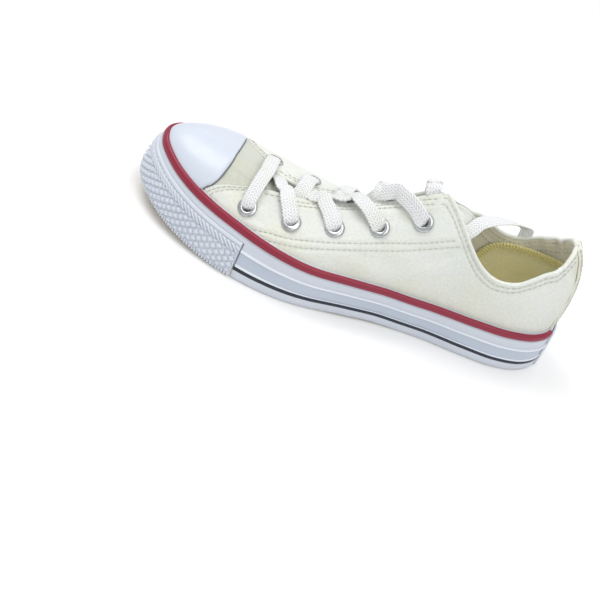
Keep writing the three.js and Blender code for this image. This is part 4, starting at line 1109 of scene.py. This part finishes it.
def bumper_relief(run, up):
    """Height of the bumper's pattern, as a share of RELIEF: run in mm round the toe."""
    row = (up - 0.115) / 0.137
    peaks = np.minimum(1 - tent(run / 5.9 + row), 1 - tent(run / 5.9 - row))
    grid = np.clip(3.2 * peaks - 0.7, 0, 1)
    inside = smooth(up, 0.108, 0.118) * (1 - smooth(up, 0.518, 0.528))
    ribs = np.clip(2.4 * np.sin((run / 2.9 + (up - 0.6) * 13) * math.pi) ** 2 - 0.7, 0, 1)
    in_ribs = smooth(up, 0.545, 0.556) * (1 - smooth(up, 0.66, 0.672))
    band = smooth(up, 0.685, 0.695) * 0.6
    fringe = np.clip(2 * np.sin(run / 1.8 * math.pi) ** 2 - 0.5, 0, 1)
    fringe = fringe * smooth(up, 0.01, 0.02) * (1 - smooth(up, 0.088, 0.1)) * 0.7
    return np.maximum.reduce([grid * inside, ribs * in_ribs, band, fringe])


def add_bumper():
    shares = stop_list(BUMPER_AT + 0.0012, 1, 430)
    rolled = [BUMPER_TOP - d for d in (0.023, 0.01, 0.003, 0, 0)]
    ups = np.concatenate([[0.012, 0.012], np.linspace(0.02, 0.71, 104), rolled])

    def rows(side, at):
        heights, depths = [], []
        for k, up in enumerate(ups):
            run = (1 - at) * PLAN_SIDES[side][1][-1] * side
            h = bumper_relief(run, np.full_like(at, up)) * RELIEF
            d = -h
            if k == 0 or k == len(ups) - 1:
                d = BUMPER_THICKNESS + 0 * at
            elif k == 1:
                d = 0.3 + 0 * at
            elif k >= len(ups) - 5:
                d = -0.6 * RELIEF + [0.0, 0.06, 0.22, 0.5][k - len(ups) + 5] + 0 * at
            heights.append(up * side_height(at))
            depths.append(d)
        return heights, depths

    grid = wall_grid(shares, rows)
    piece = new_object("bumper", grid.reshape(-1, 3), tube_faces(*grid.shape[:2]), BUMPER, sharp=55)
    merge_near(piece, 0.001)
    keep(piece, "side_rubber", "toe_bumper")


add_bumper()


def heel_grid(make, count=24):
    shares = np.linspace(0, 1, count)
    inner = make(INNER, shares[::-1][:-1])
    outer = make(OUTER, shares)
    return np.concatenate([inner, outer])


def slab(name, grid, normals, thickness, material, slot, node, roll=0.45, sharp=None):
    """A plate with rounded edges: its outer face, falling at the rim, and its back."""
    c, r = grid.shape[:2]
    i, j = np.meshgrid(np.arange(c), np.arange(r), indexing="ij")
    along = run_lengths(grid, 0)
    upward = run_lengths(grid, 1)
    rim = np.minimum.reduce([along, along[-1:] - along, upward, upward[:, -1:] - upward])
    fall = thickness * roll * np.clip(1 - rim / (thickness * 1.2), 0, 1) ** 2
    front = grid - normals * fall[..., None]
    back = grid - normals * thickness
    uv = np.stack([along, upward], -1).reshape(-1, 2)
    faces = outward(front, grid_faces(c, r), normals[c // 2, r // 2])
    back_faces = faces[:, ::-1] + c * r
    loop = ([(k, 0) for k in range(c)] + [(c - 1, k) for k in range(1, r)]
            + [(k, r - 1) for k in range(c - 2, -1, -1)] + [(0, k) for k in range(r - 2, 0, -1)])
    ids = [a * r + b for a, b in loop]
    rims = [[a, b, b + c * r, a + c * r] for a, b in zip(ids, ids[1:] + ids[:1])]
    inner = len(material) - 1 if isinstance(material, list) else 0
    tags = [0] * len(faces) + [inner] * len(back_faces) + [0] * len(rims)
    points = np.vstack([front.reshape(-1, 3), back.reshape(-1, 3)])
    every_face = [*faces.tolist(), *back_faces.tolist(), *rims]
    piece = new_object(name, points, every_face, material, np.vstack([uv, uv]), sharp=sharp, tags=tags)
    merge_near(piece, 0.0005)
    keep(piece, slot, node)
    return piece


def heel_wall(side, shares):
    at = shares * PATCH_AT
    ups = np.linspace(0.02, 0.985, 40)
    return np.stack([side_point(side, at, u, -GAP - PATCH_THICKNESS) for u in ups], axis=1)


def heel_wall_out(side, shares):
    _, _, ox, oy = outline(side, shares * PATCH_AT)
    way = np.stack([-ox, -oy, 0 * ox], -1)
    return np.repeat(way[:, None], 40, axis=1)


slab("heel_plate", heel_grid(heel_wall), heel_grid(heel_wall_out), PATCH_THICKNESS + GAP, SIDE,
     "side_rubber", "heel_patch")


def strip_half(at_top):
    return PATCH_AT * np.interp(at_top, [0, 1], [1, 0.86])


def strip_places(side, shares):
    rows = np.linspace(0, 1, 60)
    at = shares[:, None] * strip_half(rows)[None]
    foot = up_at_height(side, at, side_point(side, at[:, 0], 1.0)[:, None, 2] - 0.6)
    up = foot + (top_up(side, at) - foot) * rows[None]
    return at, up


def heel_strip(side, shares):
    at, up = strip_places(side, shares)
    return shell(side, at, up, GAP + STRIP_THICKNESS + 0.12 * np.sin(up * 40 + at * 300))


def heel_strip_out(side, shares):
    at, up = strip_places(side, shares)
    return face_out(side, at, up)


slab("heel_ribbon", heel_grid(heel_strip, 26), heel_grid(heel_strip_out, 26), STRIP_THICKNESS + GAP, STRIP,
     "canvas", "heel_strip")
lines = []
for side in (OUTER, INNER):
    for inset in (1.6, 3.4):
        rows = np.linspace(0.03, 0.97, 50)
        at = strip_half(rows) - inset / SIDE_LENGTH
        foot = up_at_height(side, at, side_point(side, at, 1.0)[..., 2])
        up = foot + (top_up(side, at) - foot) * rows
        lines.append((shell(side, at, up, GAP + STRIP_THICKNESS + 0.1), face_out(side, at, up)))
stitches("stitches_heel", lines, THREAD)

# Outsole with its tread


def add_outsole():
    c, r = 350, 130
    shares = np.linspace(0, 1, c)
    ladder = np.linspace(0, 1, r)
    ends = [side_point(side, shares, 0.0, FOXING_WALL * 0.35) for side in (OUTER, INNER)]
    flat = ends[0][:, None] * (1 - ladder)[None, :, None] + ends[1][:, None] * ladder[None, :, None]
    forward = LENGTH / 2 + SHIFT[0] - flat[..., 0]
    aside = SHIFT[1] - flat[..., 1]
    zig = forward + 2.2 * tent(aside / 8.0) * 2
    bars = smooth(np.abs(((zig / 4.6) % 1.0) * 2 - 1), 0.42, 0.6)
    rim = np.minimum(*(np.linalg.norm(flat - end, axis=-1) for end in (flat[:, :1], flat[:, -1:])))
    border = 1 - smooth(rim, 3.2, 3.8)
    heel = smooth(forward, 10, 14)
    tread = np.maximum(bars * heel + (1 - heel), border)
    flat[..., 2] = ground(forward) + 1.3 * (1 - tread)
    top = flat.copy()
    top[..., 2] = ground(forward) + OUTSOLE
    uv = np.stack([forward, aside], -1).reshape(-1, 2)
    bottom_faces = outward(flat, grid_faces(c, r), (0, 0, -1))
    sides = []
    for k in range(c - 1):
        for j in (0, r - 1):
            a, b = k * r + j, (k + 1) * r + j
            sides.append([a, b, b + c * r, a + c * r])
    faces = [*bottom_faces.tolist(), *(bottom_faces[:, ::-1] + c * r).tolist(), *sides]
    piece = new_object("sole_tread", np.vstack([flat.reshape(-1, 3), top.reshape(-1, 3)]), faces, SOLE,
                       np.vstack([uv, uv]), sharp=45)
    merge_near(piece, 0.001)
    keep(piece, "side_rubber", "outsole")


add_outsole()

# Insole and the lower lining


def add_insole():
    shares = np.linspace(0, 1, 160)
    ladder = np.linspace(0, 1, 60)
    depth = foxing_thickness(0.35) + SKIRT_GAP + QUARTER_STEP + WALL + 0.4
    ends = [side_point(side, shares, 0.35, depth) for side in (OUTER, INNER)]
    grid = ends[0][:, None] * (1 - ladder)[None, :, None] + ends[1][:, None] * ladder[None, :, None]
    forward = LENGTH / 2 + SHIFT[0] - grid[..., 0]
    cup = (np.abs(ladder * 2 - 1) ** 3)[None]
    heel_part = (1 - smooth(shares, 0.25, 0.5))[:, None]
    grid[..., 2] = ground(forward) + OUTSOLE + GAP + INSOLE + 1.6 * cup * heel_part
    uv = np.stack([grid[..., 0], grid[..., 1]], -1).reshape(-1, 2)
    faces = outward(grid, grid_faces(160, 60), (0, 0, 1))
    piece = new_object("footbed", grid.reshape(-1, 3), faces, YELLOW, uv)
    merge_near(piece, 0.001)
    thicken(piece, INSOLE)
    keep(piece, "lining", "insole")


add_insole()


# Edge of the heel's own lining: its place round the side and its height in mm.
HEEL_LINING = [(0, 55.2), (0.04, 54.8), (0.07, 53.8), (0.096, 52), (0.135, 49.8), (0.172, 47.9), (0.2, 46.3),
               (0.221, 43.8), (0.236, 39.8), (0.244, 34.5), (0.248, 28.5), (0.25, 22), (0.25, 12)]


def inside(side, at, height, depth):
    """Points on the lining, which stands straight below the last's foot."""
    foot = face_point(side, at, 0.0)[..., 2]
    up = np.where(height > foot, up_at_height(side, at, height), 0.0)
    spots = shell(side, at, up, -QUARTER_STEP - WALL - depth)
    spots[..., 2] = np.where(height < foot, height, spots[..., 2])
    return spots


def add_heel_lining(side, word):
    edge = catmull(HEEL_LINING, 190)
    reach, tall = edge[:, 0][:, None], edge[:, 1][:, None]
    rows = np.linspace(0, 1, 34)[None]
    low = 8.8
    at = reach + 0 * rows
    height = low + (tall - low) * rows
    at = np.minimum(at, np.interp(height, edge[::-1, 1], edge[::-1, 0]))
    grid = inside(side, at, height, 0.5)
    uv = np.stack([at * SIDE_LENGTH, height], -1).reshape(-1, 2)
    faces = outward(grid, grid_faces(191, 34), -face_out(side, 0.2, 0.4))
    piece = new_object(f"heel_lining_{word}", grid.reshape(-1, 3), faces, YELLOW, uv)
    merge_near(piece, 0.001)
    thicken(piece, 0.5, offset=1)
    keep(piece, "lining")
    spots = inside(side, edge[:, 0], edge[:, 1], 1.2)
    ways = -face_out(side, edge[:, 0], np.clip(up_at_height(side, edge[:, 0], edge[:, 1]), 0.02, 1))
    n = len(spots)
    tape = sweep(f"lining_tape_{word}", spots, ways, np.full(n, 4.2), np.full(n, 0.9), LOOPS, 2.4, 12)
    keep(tape, "lining")
    loops = []
    run = run_lengths(spots[:, None], 0)[:, 0]
    for s in np.arange(0.8, run[-1] - 0.8, 1.7):
        c, w, d = (np.array([np.interp(s + ahead, run, source[:, k]) for k in range(3)])
                   for ahead, source in ((0, spots), (0, ways), (0.5, spots)))
        t = unit(d - c)
        b = np.cross(t, w)
        for low_end, high_end in ((-2.4, -0.1), (0.1, 2.4)):
            line = np.array([c + b * low_end - t * 0.5, c + b * (low_end + high_end) / 2 + t * 0.1,
                             c + b * high_end + t * 0.6])
            loops.append((line + w * np.array([[0.35], [0.62], [0.35]]), np.array([w, w, w])))
    stitches(f"overlock_{word}", loops, LOOPS, pitch=2.5, length=2.7, radius=0.36)
    for drop, start in ((3.0, 0.02), (9.5, 0.03)):
        row = np.linspace(start, 0.36, 120)
        up = step_up(side, row, top_up(side, row), -drop)
        spots, ways = shell(side, row, up, -QUARTER_STEP - WALL - 0.1), -face_out(side, row, up)
        stitches(f"stitches_lining_{word}_{int(drop)}", [(spots, ways)], THREAD, radius=0.26)


for side, word in ((OUTER, "outer"), (INNER, "inner")):
    add_heel_lining(side, word)

# Tongue
TONGUE_FRONT_AT, TONGUE_BACK_AT, TONGUE_GAP, EYELET_BACK = 0.765, 0.388, 0.6, 1.1


def add_tongue():
    columns = []
    for at in np.linspace(TONGUE_FRONT_AT, TONGUE_BACK_AT, 110):
        drop = smooth(TONGUE_FRONT_AT - at, 0.02, 0.05)
        depth = QUARTER_STEP + WALL + TONGUE_GAP + drop * EYELET_BACK
        half = TONGUE_HALF_WIDTH * np.interp(at, [TONGUE_BACK_AT, TONGUE_FRONT_AT], [1, 0.7])
        columns.append(across_point(at, np.linspace(-half, half, 57), -depth))
    last = columns[-1]
    middle = last[28]
    ends = catmull([(0, 0, 1), *TONGUE_END], 26)[1:]
    for back, up, half in ends:
        column = last.copy()
        column[:, 0] += back * TONGUE_HALF_WIDTH
        column[:, 1] = middle[1] + (last[:, 1] - middle[1]) * half
        column[:, 2] = middle[2] + (last[:, 2] - middle[2]) * half + up * TONGUE_HALF_WIDTH
        columns.append(column)
    grid = np.array(columns)
    along, upward = run_lengths(grid, 0), run_lengths(grid, 1)
    wrinkle = 0.35 * np.sin(along / 6.5 + upward / 9) * np.sin(upward / 5.1) + 0.25 * np.sin(along / 2.9 + 2)
    normals = unit(np.cross(np.gradient(grid, axis=0), np.gradient(grid, axis=1)))
    if normals[60, 28, 2] < 0:
        normals = -normals
    grid = grid + normals * (wrinkle * smooth(along, 0, 8) - 0.2)[..., None]
    slab("tongue_cloth", grid, normals, TONGUE, [CANVAS, LINING], "canvas", "tongue", roll=0.5)
    lines = []
    inset, back = 3, np.s_[70:-3]
    for row in ((back, inset), (back, -1 - inset), (-5, np.s_[4:-4])):
        lines.append((grid[row] + normals[row] * 0.1, normals[row]))
    stitches("stitches_tongue", lines, THREAD)


add_tongue()

# Eyelets


def add_eyelet(name, side, at, up):
    profile = [
        (2.3, -3.2), (2.35, -1.5), (2.4, 0.35), (2.55, 0.85), (2.95, 1.12), (3.6, 1.2), (4.3, 1.1),
        (4.85, 0.8), (5.12, 0.45), (5.2, 0.15), (5.1, -0.05), (4.6, -0.1), (3.3, -0.15), (3.2, -3.0),
        (3.9, -3.1), (3.9, -3.4), (2.6, -3.45),
    ]
    centre = shell(side, np.array(at), np.array(up), 0.0)
    way = face_out(side, np.array(at), np.array(up))
    lift = float(relief(side, np.array([at]), np.array([up]))[0])
    first = unit(np.cross(way, (1.0, 0.1, 0.0)))
    second = np.cross(way, first)
    angle = np.linspace(0, 2 * math.pi, 40, endpoint=False)
    raised = 0.15 + max(lift, 0) * 0.5
    grid = np.array([[centre + (first * math.cos(a) + second * math.sin(a)) * r + way * (h + raised)
                      for a in angle] for r, h in profile])
    faces = outward(grid, grid_faces(len(profile), 40, closed_round=True, closed_up=True), (0, 0, 0))
    piece = new_object(name + "_ring", grid.reshape(-1, 3), faces, NICKEL, sharp=60)
    merge_near(piece, 0.001)
    keep(piece, "nickel", name)


for name, side, at, up in EYELET_PLACES:
    add_eyelet(name, side, at, up)

# Lace over the throat
# Each run comes from under one side, arches over the tongue and goes into the other side's eyelet.


# The side where a run comes out, its eyelet row, the place round the side where it comes out,
# how far it arches over the throat and over its own eyestay, its twist and its width.
LACE_RUNS = [
    (OUTER, 1, 0.622, 2.2, 1.2, 0.15, 1.12),
    (INNER, 1, 0.7, 0.8, 1.4, -0.1, 1.08),
    (OUTER, 2, 0.55, 2.0, 1.2, 0.1, 1.1),
    (INNER, 2, 0.64, 1.0, 1.8, 0.15, 1.12),
    (OUTER, 3, 0.485, 6.0, 2.2, 0.35, 1.08),
    (INNER, 3, 0.6, 2.2, 3.4, -0.2, 1.14),
    (OUTER, 4, 0.392, 2.8, 1.8, 0.2, 1.08),
    (INNER, 4, 0.53, 4.2, 3.2, 0.75, 1.12),
]


def lace_piece(name, at, line, twist, width):
    points = across_point(at, line[:, 1], line[:, 2])
    ways = across_out(at, line[:, 1])
    count = len(points)
    tangent = unit(np.gradient(points, axis=0))
    heading = unit(points[int(count * 0.72)] - points[int(count * 0.45)])
    steps = np.arange(count)
    dive = smooth(np.abs(np.sum(tangent * ways, axis=1)), 0.5, 0.95)[:, None]
    ways = unit(ways * (1 - dive) + np.where((steps > count / 2)[:, None], heading, -heading) * dive)
    turn = twist * np.sin(math.pi * np.clip(steps / count * 1.2, 0, 1))[:, None]
    ways = ways * np.cos(turn) + np.cross(tangent, ways) * np.sin(turn)
    slack = 1 + 0.05 * np.sin(steps / count * 9 + at[0] * 40)
    pinch = smooth(steps, count * 0.8, count * 0.93)
    widths = LACE_WIDTH * width * slack * (1 - 0.4 * pinch)
    heights = LACE_THICKNESS * 1.6 * (1 + 0.45 * pinch)
    return keep(sweep(name, points, ways, widths, heights, LACE, 2.8, 26), "lace")


def eyelet_across(side, row):
    _, outer, inner = EYELETS[row]
    return side * (outer if side == OUTER else inner) * OUTER_BALL


def lace_run(side, row, start, puff, hump, twist, width):
    """A run from under one eyestay's edge, over the throat and the other edge, into its eyelet."""
    goal = eyelet_across(-side, row)
    edge = float(value(THROAT, "half", start)) * OUTER_BALL
    rim = float(value(THROAT, "half", EYELETS[row][0])) * OUTER_BALL * np.sign(goal)
    stops = [
        (0.0, side * (edge + 8), -3.5), (0.06, side * (edge + 4), -3.3), (0.16, side * (edge + 0.6), -2.6),
        (0.3, side * edge * 0.45, -0.6 + puff * 0.5), (0.45, 0.1 * goal, 0.2 + puff * 0.9),
        (0.58, rim * 0.9, 1.0 + puff * 0.8 + hump * 0.3),
        (0.7, rim + (goal - rim) * 0.3, 1.3 + hump + puff * 0.35),
        (0.84, rim + (goal - rim) * 0.62, 1.5 + hump * 0.8),
        (0.94, rim + (goal - rim) * 0.87, 1.7 + hump * 0.2),
        (0.99, goal * 0.985, 0.7), (1.0, goal, -1.0), (1.0, goal, -3.4),
    ]
    line = catmull(stops, 132)
    at = start + (EYELETS[row][0] - start) * np.clip(line[:, 0], 0, 1)
    word = "outer" if side == OUTER else "inner"
    return lace_piece(f"lace_{row}_{word}", at, line, twist, width)


def lace_bar():
    """The first run, straight over the throat, from eyelet to eyelet."""
    near, far = eyelet_across(OUTER, 0), eyelet_across(INNER, 0)
    stops = [(0, near, -3.4), (0, near, -1.0), (0, near * 0.985, 0.8), (0, near * 0.9, 2.1),
             (0, near * 0.7, 2.6), (0, near * 0.35, 2.9), (0, 0, 3.1), (0, far * 0.4, 3.0),
             (0, far * 0.75, 2.6), (0, far * 0.93, 1.8), (0, far * 0.99, 0.7), (0, far, -1.0), (0, far, -3.4)]
    line = catmull(stops, 132)
    at = EYELETS[0][0] + 0.003 * np.sin(np.linspace(0, math.pi, 133))
    return lace_piece("lace_bar", at, line, 0.0, 1.0)


def add_laces():
    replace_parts(lace_bar(), "lace_crossings")
    for row in LACE_RUNS:
        lace_run(*row)


add_laces()

# Floor, light


def add_stage():
    size = 3.0
    mesh = bpy.data.meshes.new("floor")
    corners = [(-size, -size, 0), (size, -size, 0), (size, size, 0), (-size, size, 0)]
    mesh.from_pydata(corners, [], [(0, 1, 2, 3)])
    floor = bpy.data.objects.new("floor", mesh)
    bpy.context.scene.collection.objects.link(floor)
    look = Look("floor_pale", 0.85, Specular_IOR_Level=0.2)
    look.colour(look.ramp(look.noise(3, 2), (0.3, linear("#F4F4F4")), (0.8, linear("#F8F8F8"))))
    mesh.materials.append(look.material)
    world = bpy.data.worlds.new("studio")
    world.use_nodes = True
    world.node_tree.nodes["Background"].inputs[0].default_value = (1, 1, 1, 1)
    world.node_tree.nodes["Background"].inputs[1].default_value = 0.62
    bpy.context.scene.world = world
    for name, spot, goal, size, power in (
        ("key", (-0.5, 0.25, 0.95), (0, 0, 0.03), 0.55, 4.3),
        ("fill", (0.4, -0.6, 0.95), (0.03, 0, 0.03), 0.8, 3.6),
        ("top", (0.12, -0.1, 1.2), (0.08, 0, 0.03), 0.5, 1.8),
        ("back", (0.5, 0.75, 0.7), (0, 0, 0.04), 0.7, 1.6),
    ):
        data = bpy.data.lights.new(name, "AREA")
        data.size = size
        data.energy = power
        light = bpy.data.objects.new(name, data)
        light.location = spot
        light.rotation_euler = (Vector(goal) - Vector(spot)).to_track_quat("-Z", "Y").to_euler()
        bpy.context.scene.collection.objects.link(light)


add_stage()
bpy.context.scene.view_settings.view_transform = "Standard"
